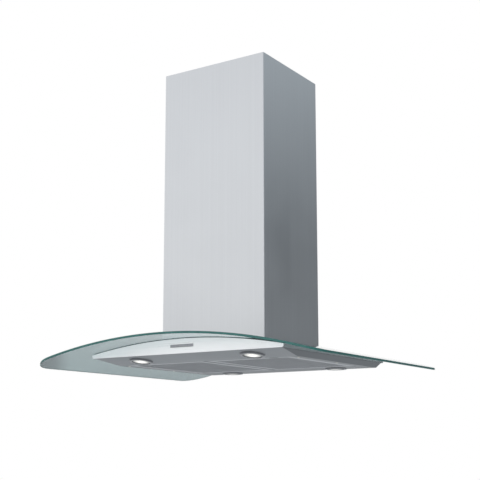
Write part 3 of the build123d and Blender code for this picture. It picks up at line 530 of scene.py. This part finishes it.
# %% Thicken it and polish the rims
POLISH = 1.1 * MM
blank = bmesh.ops.extrude_face_region(work, geom=work.faces[:])
upper = [g for g in blank["geom"] if isinstance(g, bmesh.types.BMVert)]
bmesh.ops.translate(work, vec=(0, 0, THICK), verts=upper)
bmesh.ops.recalc_face_normals(work, faces=work.faces[:])
work.normal_update()
rims = [e for e in work.edges if len(e.link_faces) == 2 and e.calc_face_angle(0) > math.radians(60)
        and abs(e.verts[0].co.z - e.verts[1].co.z) < 1e-7]
bmesh.ops.bevel(work, geom=rims, offset=POLISH, segments=3, profile=0.5, affect="EDGES")
print("polished", len(rims), "rim edges")

# %% Slice it for bending
SLICE_MM, SLICES_EACH_SIDE = 12.3, 36
for k in range(-SLICES_EACH_SIDE, SLICES_EACH_SIDE + 1):
    bmesh.ops.bisect_plane(work, geom=work.verts[:] + work.edges[:] + work.faces[:],
                           plane_co=(k * SLICE_MM * MM, 0, 0), plane_no=(1, 0, 0), dist=1e-6)
work.normal_update()
for face in work.faces:
    face.material_index = 0 if abs(face.normal.z) > 0.999 else 1
for edge in work.edges:
    edge.smooth = edge.link_faces[0].material_index == edge.link_faces[-1].material_index
print("sliced", len(work.faces), "faces, polished", sum(f.material_index for f in work.faces))

# %% Bend it and put it in place
for vert in work.verts:
    radius = TOP_RADIUS - THICK + vert.co.z
    vert.co.z = AXIS_Z + math.sqrt(radius ** 2 - vert.co.x ** 2)
pane = bpy.data.meshes.new("canopy")
work.to_mesh(pane)
work.free()
for polygon in pane.polygons:
    polygon.use_smooth = True
as_piece("canopy", pane, "glass_canopy", canopy_glass, glass_edge)
print("canopy", len(pane.polygons), "faces, z from", round(min(v.co.z for v in pane.vertices), 4))

# %% [markdown]
# ## Geometry Nodes for what repeats
#
# Filter mesh, fan blades and screws are one small shape repeated many times, which is what
# Geometry Nodes are for: the numbers that matter become named inputs, and changing one
# rebuilds the lot. Modelling one and copying it with an Array modifier would also work for
# a straight row, but not for a staggered field or a ring of blades. The helpers start a
# tree with its inputs, and turn a finished tree into a plain mesh.

# %% Helpers for node-built pieces
def start_tree(name, numbers):
    """A Geometry Nodes tree with named number inputs and a geometry output."""
    tree = bpy.data.node_groups.new(name, "GeometryNodeTree")
    tree.interface.new_socket("Geometry", in_out="INPUT", socket_type="NodeSocketGeometry")
    for label, value in numbers.items():
        kind = "NodeSocketInt" if isinstance(value, int) else "NodeSocketFloat"
        tree.interface.new_socket(label, in_out="INPUT", socket_type=kind).default_value = value
    tree.interface.new_socket("Finish", in_out="INPUT", socket_type="NodeSocketMaterial")
    tree.interface.new_socket("Geometry", in_out="OUTPUT", socket_type="NodeSocketGeometry")
    return tree, add(tree, "NodeGroupInput")


def end_tree(tree, given, geometry):
    """Realize the copies, set their finish and send them out."""
    real = add(tree, "GeometryNodeRealizeInstances", {"Geometry": geometry})
    painted = add(tree, "GeometryNodeSetMaterial", {"Geometry": real.outputs[0],
                                                    "Material": given.outputs["Finish"]})
    add(tree, "NodeGroupOutput", {"Geometry": painted.outputs[0]})


def maths(tree, operation, first, second):
    """One calculation with two values, as a node."""
    return add(tree, "ShaderNodeMath", {0: first, 1: second}, operation=operation).outputs[0]


def swept(tree, path, section, **settings):
    """A section, which is a curve, swept along a path."""
    return add(tree, "GeometryNodeCurveToMesh", {"Curve": path.outputs[0],
                                                 "Profile Curve": section.outputs[0], **settings})


def rectangle(tree, width, height):
    """A closed rectangular curve, to sweep along a path."""
    return add(tree, "GeometryNodeCurvePrimitiveQuadrilateral", {"Width": width, "Height": height})


def grow(name, tree, numbers, finish, points=()):
    """Run a tree on a mesh of loose points and return the plain mesh."""
    seed = bpy.data.meshes.new(name + "_points")
    seed.from_pydata(points or [(0, 0, 0)], [], [])
    holder = in_scene(name + "_work", seed)
    nodes = holder.modifiers.new("Nodes", "NODES")
    nodes.node_group = tree
    for item in tree.interface.items_tree:
        if item.in_out == "INPUT" and item.name in numbers:
            nodes[item.identifier] = numbers[item.name]
        if item.in_out == "INPUT" and item.name == "Finish":
            nodes[item.identifier] = finish
    mesh = settled(holder)
    print(name, len(mesh.polygons), "faces")
    return mesh


# %% [markdown]
# ## Filter mesh
#
# A grease filter holds layers of expanded aluminium: sheet slit in staggered rows and pulled
# open into diamonds, whose strands twist as they stretch. One link is a flat strip swept
# round a kite-shaped curve and leaned over a little, and a grid of links makes the sheet.
# Only whole links are placed, so that no strand reaches past the frame. The core of the
# stack stays as the solid model's slab, and this open front layer is what is seen from
# below.

# %% Build the link tree
mesh_tree, given = start_tree("Expanded mesh", {"Width": 0.226, "Depth": 0.330, "Link X": 0.009,
                                                "Link Y": 0.005, "Strand": 0.0014, "Sheet": 0.0005,
                                                "Lean": 0.35})
out = given.outputs


def whole_links(length, link):
    """How many links fit in a length, and the span from the first one's middle to the last's."""
    fitting = maths(mesh_tree, "FLOOR", maths(mesh_tree, "DIVIDE", out[length], out[link]), 0.0)
    gaps = maths(mesh_tree, "SUBTRACT", fitting, 1.0)
    return fitting, maths(mesh_tree, "MULTIPLY", gaps, out[link])


columns, span_x = whole_links("Width", "Link X")
rows, span_y = whole_links("Depth", "Link Y")
grid = add(mesh_tree, "GeometryNodeMeshGrid", {"Size X": span_x, "Size Y": span_y,
                                               "Vertices X": columns, "Vertices Y": rows})
half_link = maths(mesh_tree, "MULTIPLY", out["Link Y"], 0.5)
kite = add(mesh_tree, "GeometryNodeCurvePrimitiveQuadrilateral",
           {"Width": out["Link X"], "Bottom Height": half_link, "Top Height": half_link}, mode="KITE")
link = swept(mesh_tree, kite, rectangle(mesh_tree, out["Strand"], out["Sheet"]))
lean = add(mesh_tree, "ShaderNodeCombineXYZ", {"X": out["Lean"]})
field = add(mesh_tree, "GeometryNodeInstanceOnPoints", {
    "Points": grid.outputs["Mesh"], "Instance": link.outputs[0], "Rotation": lean.outputs[0]})
end_tree(mesh_tree, given, field.outputs[0])
print("tree", mesh_tree.name, "with", len(mesh_tree.nodes), "nodes")

# %% Fit a mesh sheet into each filter
SHEET_SIZE = {"Width": 225.5 * MM, "Depth": 329.5 * MM}
BELOW_SLAB = 1.0 * MM
for side in ("left", "right"):
    rim_low, rim_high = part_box("filter_frame_" + side)
    slab_low, slab_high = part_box("filter_mesh_" + side)
    sheet = grow("filter_face_" + side, mesh_tree, SHEET_SIZE, mesh_aluminium)
    centre = ((slab_low.x + slab_high.x) / 2, (slab_low.y + slab_high.y) / 2, slab_low.z - BELOW_SLAB)
    sheet.transform(Matrix.Translation(centre))
    face = in_scene("filter_face_" + side, sheet)
    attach(face, "filter_" + side)
    print(side, "mesh centre", [round(c, 4) for c in centre],
          "in a frame of", [round(c, 4) for c in rim_high - rim_low])

# %% [markdown]
# ## Fan wheel
#
# The blower's wheel is a drum of forward-curved blades between two end rings, with a disc
# in the middle that carries the hub. Air enters at both ends and leaves through the blades.
# One blade is an arc through three points, swept by a thin strip. Its copies are turned by
# their number times the pitch, which a Math node works out from the instance's index.

# %% Sweep one blade
MIDDLE_LEAD, TIP_LEAD = 0.035, 3.2
TIP_SHARE, WIDTH_SHARE = 0.994, 1.98
wheel_tree, given = start_tree("Fan wheel", {"Blades": 30, "Inner Radius": 0.056,
                                             "Outer Radius": 0.0668, "Half Width": 0.045,
                                             "Sheet": 0.0012})
out = given.outputs
lead = maths(wheel_tree, "MULTIPLY", out["Inner Radius"], MIDDLE_LEAD)
tip_lead = maths(wheel_tree, "MULTIPLY", lead, TIP_LEAD)
both_radii = maths(wheel_tree, "ADD", out["Inner Radius"], out["Outer Radius"])
middle_radius = maths(wheel_tree, "MULTIPLY", both_radii, 0.5)
tip_radius = maths(wheel_tree, "MULTIPLY", out["Outer Radius"], TIP_SHARE)
root = add(wheel_tree, "ShaderNodeCombineXYZ", {"X": out["Inner Radius"]})
middle = add(wheel_tree, "ShaderNodeCombineXYZ", {"X": middle_radius, "Y": lead})
tip = add(wheel_tree, "ShaderNodeCombineXYZ", {"X": tip_radius, "Y": tip_lead})
arc = add(wheel_tree, "GeometryNodeCurveArc", {"Resolution": 6, "Start": root.outputs[0],
                                               "Middle": middle.outputs[0],
                                               "End": tip.outputs[0]}, mode="POINTS")
tall = maths(wheel_tree, "MULTIPLY", out["Half Width"], WIDTH_SHARE)
strip = rectangle(wheel_tree, out["Sheet"], tall)
blade = swept(wheel_tree, arc, strip, **{"Fill Caps": True})
print("blade tree has", len(wheel_tree.nodes), "nodes")

# %% Place the blades by their number
spots = add(wheel_tree, "GeometryNodeMeshLine", {"Count": out["Blades"], "Offset": (0, 0, 0)})
number = add(wheel_tree, "GeometryNodeInputIndex")
all_turns = maths(wheel_tree, "MULTIPLY", number.outputs[0], 2 * math.pi)
turn = maths(wheel_tree, "DIVIDE", all_turns, out["Blades"])
around = add(wheel_tree, "ShaderNodeCombineXYZ", {"Z": turn})
blades = add(wheel_tree, "GeometryNodeInstanceOnPoints", {
    "Points": spots.outputs[0], "Instance": blade.outputs[0], "Rotation": around.outputs[0]})
join = add(wheel_tree, "GeometryNodeJoinGeometry")
wheel_tree.links.new(blades.outputs[0], join.inputs[0])
print("blades placed by index")

# %% Add its rings and disc
def band(middle_radius, width, height, level):
    """A ring of rectangular section, added to the wheel's join node."""
    circle = add(wheel_tree, "GeometryNodeCurvePrimitiveCircle", {"Resolution": 96,
                                                                  "Radius": middle_radius})
    ring = swept(wheel_tree, circle, rectangle(wheel_tree, width, height))
    place = add(wheel_tree, "ShaderNodeCombineXYZ", {"Z": level})
    moved = add(wheel_tree, "GeometryNodeTransform", {"Geometry": ring.outputs[0],
                                                      "Translation": place.outputs[0]})
    wheel_tree.links.new(moved.outputs[0], join.inputs[0])


PLATE, RING_SHARE = 2.0 * MM, 0.977
for sign in (-1, 1):
    ring_level = maths(wheel_tree, "MULTIPLY", out["Half Width"], RING_SHARE * sign)
    band(61.5 * MM, 12.8 * MM, PLATE, ring_level)
band(35.0 * MM, 62.0 * MM, PLATE, 0.0)
band(7.0 * MM, 5.8 * MM, 12.0 * MM, 0.0)
end_tree(wheel_tree, given, join.outputs[0])
print("wheel tree has", len(wheel_tree.nodes), "nodes")

# %% Hang the wheel on its shaft
wheel = grow("fan_wheel", wheel_tree, {}, fan_plastic)
drum_low, drum_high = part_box("impeller")
ALONG_SHAFT = Matrix.Rotation(math.pi / 2, 4, "Y")
wheel.transform(Matrix.Translation((drum_low + drum_high) / 2) @ ALONG_SHAFT)
as_piece("fan_wheel", wheel, "impeller")
print("wheel size", [round(c, 4) for c in drum_high - drum_low])

# %% [markdown]
# ## Screws
#
# The belly pan is held by six pan-head screws with a cross recess, and cleaning cloths
# polish their rims. One screw is turned on a lathe in code: a profile of radius and height
# is spun round, and the points that lie in the cross are pushed into the head. The node
# tree then sets a copy on each of the six places.

# %% Turn a profile on its axis
def turned(profile, steps=64, cross=None):
    """Spin (radius, height) pairs round Z. cross is a recess's (half width, reach, depth)."""
    work = bmesh.new()
    angles = [2 * math.pi * k / steps for k in range(steps)]
    rings = []
    for radius, height in profile:
        if radius < 1e-9:
            rings.append([work.verts.new((0, 0, height))])
            continue
        rings.append([work.verts.new((radius * math.cos(a), radius * math.sin(a), height))
                      for a in angles])
    for one, other in zip(rings, rings[1:]):
        for near in range(steps):
            far = (near + 1) % steps
            corners = [one[near % len(one)], one[far % len(one)],
                       other[far % len(other)], other[near % len(other)]]
            unique = list(dict.fromkeys(corners))
            if len(unique) > 2:
                work.faces.new(unique)
    if cross:
        half, reach, depth = cross
        head_depth = profile[0][1] + 0.7 * MM
        for vert in work.verts:
            x, y = abs(vert.co.x), abs(vert.co.y)
            if min(x, y) < half and max(x, y) < reach and vert.co.z < head_depth:
                vert.co.z += depth
    bmesh.ops.remove_doubles(work, verts=work.verts, dist=1e-7)
    bmesh.ops.recalc_face_normals(work, faces=work.faces[:])
    mesh = bpy.data.meshes.new("turned")
    work.to_mesh(mesh)
    work.free()
    mesh.shade_smooth()
    mesh.set_sharp_from_angle(angle=math.radians(35))
    return mesh


print("lathe ready")

# %% Turn one screw
pan_low, pan_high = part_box("belly_pan")
screw_low, screw_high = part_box("belly_screws")
HEAD_R, SHANK_R, PAN_FACE = 3.6 * MM, 1.6 * MM, pan_low.z
DOME = ((0, 0), (0.5, 0), (0.9, 0), (1.4, 0.03), (1.9, 0.08), (2.5, 0.2), (3.1, 0.5))
screw_profile = [(out_mm * MM, screw_low.z + up_mm * MM) for out_mm, up_mm in DOME]
screw_profile += [(HEAD_R, screw_low.z + 1.1 * MM), (HEAD_R, PAN_FACE), (SHANK_R, PAN_FACE),
                  (SHANK_R, screw_high.z), (0, screw_high.z)]
one_screw = turned(screw_profile, steps=32, cross=(0.45 * MM, 1.95 * MM, 0.8 * MM))
print("screw", len(one_screw.polygons), "faces under a pan", round(pan_high.z - pan_low.z, 4), "deep")

# %% Set a screw on each place
SCREW_X, SCREW_ROWS = 279 * MM, (-160 * MM, 50 * MM, 255 * MM)
screw_maker = in_scene("screw_pattern", one_screw)
screw_tree, given = start_tree("Screws on points", {"Size": 1.0})
pattern = add(screw_tree, "GeometryNodeObjectInfo", {"Object": screw_maker})
placed = add(screw_tree, "GeometryNodeInstanceOnPoints", {
    "Points": given.outputs["Geometry"], "Instance": pattern.outputs["Geometry"],
    "Scale": given.outputs["Size"]})
end_tree(screw_tree, given, placed.outputs[0])
places = [(sx * SCREW_X, y, 0) for sx in (-1, 1) for y in SCREW_ROWS]
screws = grow("pan_screws", screw_tree, {}, zinc_plate, places)
bpy.data.objects.remove(screw_maker)
as_piece("pan_screws", screws, "belly_screws")

# %% [markdown]
# ## Lamps
#
# Each lamp is a pressed glass disc behind a chrome ring, darkened with painted shade.
# Concentric ribs on the glass spread the light. They are modelled, not bumped, because the
# edge of a rib catches the light from the side. The ring is turned with a rolled lip and a
# step where it meets the glass, which leaves the thin dark line seen round such lamps. The
# front strip of the pan leans up towards the fascia, and its two lamps lean with it, so each
# ring is tilted first and then moved until the middle of its box is the middle of the solid
# model's.

# %% Draw the profiles of lens and ring
LENS_R, FACE_R, RING_R, TIP_R, HOLE_R = 27.1 * MM, 24.6 * MM, 34 * MM, 32 * MM, 25 * MM
SOCKET_R, SOCKET_BORE, SOCKET_TOP = 28.6 * MM, 27.2 * MM, 12 * MM
STEP, BULGE, DROP = 2.0 * MM, 1.6 * MM, 3.5 * MM
RIBS, RIB_DEPTH, LENS_BACK = 12, 0.3 * MM, 3 * MM
lens_profile = []
for k in range(RIBS + 1):
    share = k / RIBS
    lens_profile.append((FACE_R * share, -STEP - BULGE * (1 - share ** 2) + RIB_DEPTH * (k % 2)))
lens_profile += [(FACE_R, 0), (LENS_R, 0), (LENS_R, 2.6 * MM), (LENS_R - 0.5 * MM, LENS_BACK),
                 (0, LENS_BACK)]
ring_profile = [(HOLE_R, 0), (HOLE_R, -DROP + 0.8 * MM), (HOLE_R + 0.4 * MM, -DROP + 0.2 * MM),
                (HOLE_R + 1.0 * MM, -DROP), (TIP_R - 0.9 * MM, -DROP),
                (TIP_R - 0.2 * MM, -DROP + 0.3 * MM), (TIP_R + 0.2 * MM, -DROP + 0.8 * MM),
                (RING_R - 0.3 * MM, -0.6 * MM), (RING_R, -0.3 * MM), (RING_R, 0), (SOCKET_R, 0),
                (SOCKET_R, SOCKET_TOP), (SOCKET_BORE, SOCKET_TOP), (SOCKET_BORE, 0), (HOLE_R, 0)]
print("lens points", len(lens_profile), "ring points", len(ring_profile))

# %% Turn and place the four lamps
STRIP_RISE, STRIP_DEPTH = 14 * MM, 93 * MM
LEAN = math.atan2(STRIP_RISE, STRIP_DEPTH)
for place in ("front_left", "front_right", "rear_left", "rear_right"):
    ring_low, ring_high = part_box("lamp_bezel_" + place)
    tilt = Matrix.Rotation(-LEAN if place.startswith("front") else 0, 4, "X")
    ring = turned(ring_profile, steps=96)
    ring.transform(tilt)
    low = Vector([min(v.co[i] for v in ring.vertices) for i in range(3)])
    high = Vector([max(v.co[i] for v in ring.vertices) for i in range(3)])
    to_place = Matrix.Translation((ring_low + ring_high) / 2 - (low + high) / 2)
    ring.transform(to_place)
    as_piece("ring_" + place, ring, "lamp_bezel_" + place, shaded_lamp_rim)
    lens = turned(lens_profile)
    lens.transform(to_place @ tilt)
    as_piece("lens_" + place, lens, "lamp_lens_" + place, lamp_glow)
    print(place, "lamp at", [round(c, 4) for c in to_place.to_translation()])

# %% [markdown]
# ## Motor and capacitor
#
# The motor sits inside the blower's scroll, where only someone who takes the filters out
# will meet it. Its shell is a finned casting, so the turned profile gets a row of cooling
# grooves. The start capacitor is a drawn aluminium can with a rolled bead below its lid.

# %% Turn the motor shell
shell_low, shell_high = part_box("motor")
middle = (shell_low + shell_high) / 2
radius = (shell_high.y - shell_low.y) / 2
length = shell_high.x - shell_low.x
GROOVES, FIRST_GROOVE, GROOVE_PITCH, GROOVE_DEPTH = 9, 12 * MM, 4.4 * MM, 2.2 * MM
BOSS_R, BORE_R, BORE_DEPTH = 9 * MM, 4.05 * MM, 32 * MM
profile = [(0, 0), (radius - 8 * MM, 0), (radius - 4 * MM, 0.8 * MM), (radius, 5 * MM)]
for k in range(GROOVES):
    start, floor_r = FIRST_GROOVE + k * GROOVE_PITCH, radius - GROOVE_DEPTH
    profile += [(radius, start), (floor_r, start + 0.5 * MM), (floor_r, start + 2.2 * MM),
                (radius, start + 2.7 * MM)]
profile += [(radius, length - 9 * MM), (radius - 4 * MM, length - 4 * MM), (BOSS_R, length - 4 * MM),
            (BOSS_R, length), (BORE_R, length), (BORE_R, length - BORE_DEPTH), (0, length - BORE_DEPTH)]
motor = turned(profile)
motor.transform(Matrix.Translation((shell_low.x, middle.y, middle.z)) @ ALONG_SHAFT)
as_piece("motor_shell", motor, "motor", motor_paint)
print("motor length", round(length, 3), "radius", round(radius, 3))

# %% Turn the capacitor's can
can_low, can_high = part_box("capacitor")
middle = (can_low + can_high) / 2
radius = (can_high.x - can_low.x) / 2
foot, lid = can_low.z, can_high.z
profile = [(0, foot), (radius - 2 * MM, foot), (radius, foot + 2 * MM), (radius, lid - 7 * MM),
           (radius - 1.2 * MM, lid - 6 * MM), (radius, lid - 5 * MM), (radius, lid - 2 * MM),
           (radius - 1 * MM, lid - 0.6 * MM), (radius - 2 * MM, lid),
           (radius - 3 * MM, lid - 1.5 * MM), (0, lid - 1.5 * MM)]
can = turned(profile)
can.transform(Matrix.Translation((middle.x, middle.y, 0)))
as_piece("capacitor_can", can, "capacitor", finish_of("capacitor"))
print("can height", round(lid - foot, 3), "radius", round(radius, 3))

# %% [markdown]
# ## Studio
#
# The hood hangs over a plain pale floor. The floor lies well below it, so that the hood can
# also be looked at from underneath. Brushed metal shows little of its own colour and most
# of what it reflects, so the room matters more than any lamp. An image of a real room could
# light the hood, but a few colour ramps do it with numbers that can be changed one by one.

# %% Floor
FLOOR_Z, FLOOR_HALF = -5.0, 56
floor_mesh = bpy.data.meshes.new("studio_floor")
signs = ((-1, -1), (1, -1), (1, 1), (-1, 1))
corners = [(sx * FLOOR_HALF, sy * FLOOR_HALF, FLOOR_Z) for sx, sy in signs]
floor_mesh.from_pydata(corners, [], [(0, 1, 2, 3)])
floor = in_scene("studio_floor", floor_mesh)
pale, tree, shader = new_finish("Pale floor", (0.86, 0.86, 0.86), roughness=0.7)
paper = noise(tree, own_place(tree), 3.0)
tone = shade_between(tree, spread(tree, paper, 0, 1), (0.85, 0.85, 0.85), (0.88, 0.88, 0.88))
feed(tree, shader, Base_Color=tone)
floor_mesh.materials.append(pale)
print("floor at", FLOOR_Z)

# %% [markdown]
# ## Light of the room
#
# Each ramp runs over how far a direction in the room agrees with a chosen one: 0 is
# straight against it, 0.5 across it and 1 along it. Ramps over the upward direction colour
# the room from floor to ceiling, and ramps over a level direction say where in the room a
# colour holds. The front left half is bright. The half behind is dim above the horizon,
# which darkens the right side of the chimney and body. It holds a bright window, which
# shows through the right end of the glass, and low down on the left a dark screen, which
# shows through the left end. The camera itself sees plain white behind the hood.

# %% Ramps over a direction
room = bpy.data.worlds.new("Studio room")
bpy.context.scene.world = room
room.use_nodes = True
tree = room.node_tree
tree.nodes.clear()
sight = add(tree, "ShaderNodeTexCoord")


def lit_by(direction, stops):
    """A colour ramp over how far a direction in the room points the same way as direction."""
    agreement = add(tree, "ShaderNodeVectorMath", {0: sight.outputs["Generated"], 1: direction},
                    operation="DOT_PRODUCT").outputs["Value"]
    ramp = add(tree, "ShaderNodeValToRGB", {"Fac": spread(tree, agreement, 0, 1, at=(-1, 1))})
    points = ramp.color_ramp.elements
    while len(points) < len(stops):
        points.new(0.5)
    for point, (position, colour) in zip(points, stops):
        point.position, point.color = position, (*colour, 1)
    return ramp.outputs["Color"]


UPWARD, REARWARD = (0, 0, 1), (0, 1, 0)
FRONT_LEFT, TO_WINDOW, ACROSS_SCREEN = (-0.55, -0.83, 0.0), (-0.25, 0.97, 0.0), (-0.7266, -0.6871, 0.0)
OFF, ON = (0.0, 0.0, 0.0), (1.0, 1.0, 1.0)
print("ramps run over", FRONT_LEFT, TO_WINDOW, ACROSS_SCREEN)

# %% Bright front, dim back and window
front_half = lit_by(FRONT_LEFT, [(0.0, OFF), (0.28, OFF), (0.62, ON)])
front_sky = lit_by(UPWARD, [(0.0, (0.42, 0.42, 0.43)), (0.49, (0.60, 0.60, 0.61)),
                            (0.54, (0.99, 1.0, 1.0)), (0.62, (0.96, 0.98, 1.0)),
                            (0.70, (0.84, 0.86, 0.89)), (0.85, (0.72, 0.74, 0.77)),
                            (1.0, (0.9, 0.9, 0.9))])
LOWER_BACK = [(0.0, (0.40, 0.42, 0.43)), (0.49, (0.38, 0.41, 0.43))]
UPPER_BACK = [(0.70, (0.50, 0.56, 0.60)), (1.0, (0.8, 0.85, 0.9))]
DIM_BAND = [(0.535, (0.185, 0.195, 0.205)), (0.60, (0.085, 0.093, 0.102))]
WINDOW_BAND = [(0.53, ON), (0.62, ON)]
back_sky = lit_by(UPWARD, LOWER_BACK + DIM_BAND + UPPER_BACK)
window_side = lit_by(TO_WINDOW, [(0.0, OFF), (0.970, OFF), (0.980, ON)])
window_sky = lit_by(UPWARD, LOWER_BACK + WINDOW_BAND + UPPER_BACK)
behind = mixed(tree, window_side, back_sky, window_sky)
bare_room = mixed(tree, front_half, behind, front_sky)
print("room without its screen", len(tree.nodes), "nodes")

# %% Dark screen and what the camera sees
SCREEN_COLOUR = (0.05, 0.06, 0.065, 1)
screen = lit_by(ACROSS_SCREEN, [(0.0, OFF), (0.4995, OFF), (0.5005, ON), (0.555, ON), (0.575, OFF)])
rear_half = lit_by(REARWARD, [(0.0, OFF), (0.50, OFF), (0.52, ON)])
low_down = lit_by(UPWARD, [(0.0, ON), (0.60, ON), (0.64, OFF)])
behind_left = add(tree, "ShaderNodeMath", {0: screen, 1: rear_half}, operation="MULTIPLY").outputs[0]
shaded = add(tree, "ShaderNodeMath", {0: behind_left, 1: low_down}, operation="MULTIPLY").outputs[0]
whole_room = mixed(tree, shaded, bare_room, SCREEN_COLOUR)
glow = add(tree, "ShaderNodeBackground", {"Color": whole_room, "Strength": 1.0})
white = add(tree, "ShaderNodeBackground", {"Color": (1, 1, 1, 1), "Strength": 1.0})
ray = add(tree, "ShaderNodeLightPath")
seen = add(tree, "ShaderNodeMixShader", {0: ray.outputs["Is Camera Ray"], 1: glow.outputs[0],
                                         2: white.outputs[0]})
add(tree, "ShaderNodeOutputWorld", {"Surface": seen.outputs[0]})
print("whole room", len(tree.nodes), "nodes")

# %% [markdown]
# ## Soft boxes
#
# Pure metal only mirrors the room. Two soft boxes add light to everything else, such as
# the pale fascia, the plastics and the floor: a low one at the front right, held to a
# narrow fan, and a wide one above. They are hidden from mirroring and clear surfaces, where
# the bright rectangle of a lamp would show.

# %% Soft boxes
def soft_box(name, place, aim, width, height, power, fan=180):
    """A rectangular lamp that shines from place towards aim. fan is in degrees."""
    lamp = bpy.data.lights.new(name, "AREA")
    lamp.shape, lamp.size, lamp.size_y = "RECTANGLE", width, height
    lamp.energy, lamp.spread = power, math.radians(fan)
    box = in_scene(name, lamp)
    box.location = place
    box.rotation_euler = (Vector(aim) - Vector(place)).to_track_quat("-Z", "Y").to_euler()
    box.visible_transmission = box.visible_glossy = False


soft_box("Low front box", (1.4, -3.0, -2.0), (0, -0.2, -0.82), 1.6, 0.8, 7, fan=60)
soft_box("Top box", (0.4, 0.6, 2.4), (0, 0, -0.6), 2.0, 2.0, 40)

# %% [markdown]
# ## Camera
#
# The view is from a little below the hood's edge and to the right, as a person standing in
# the kitchen would see it, looking slightly up. A long lens keeps the verticals upright, and
# a small upward shift keeps the chimney in the frame without tilting further.

# %% Camera
AROUND, UP = 0.5794, 0.158
EYE = (1.5395, -2.3609, -1.0762)
SENSOR_MM, LENS_MM, SHIFT_UP = 36.0, 74.17, 0.10
camera_data = bpy.data.cameras.new("Kitchen view")
camera_data.sensor_width, camera_data.lens, camera_data.shift_y = SENSOR_MM, LENS_MM, SHIFT_UP
camera = in_scene("Kitchen view", camera_data)
camera.location = EYE
looking = Vector((-math.sin(AROUND) * math.cos(UP), math.cos(AROUND) * math.cos(UP), math.sin(UP)))
camera.rotation_euler = looking.to_track_quat("-Z", "Y").to_euler()
bpy.context.scene.camera = camera
bpy.context.scene.view_settings.view_transform = "Standard"
print("camera at", [round(c, 3) for c in camera.location])
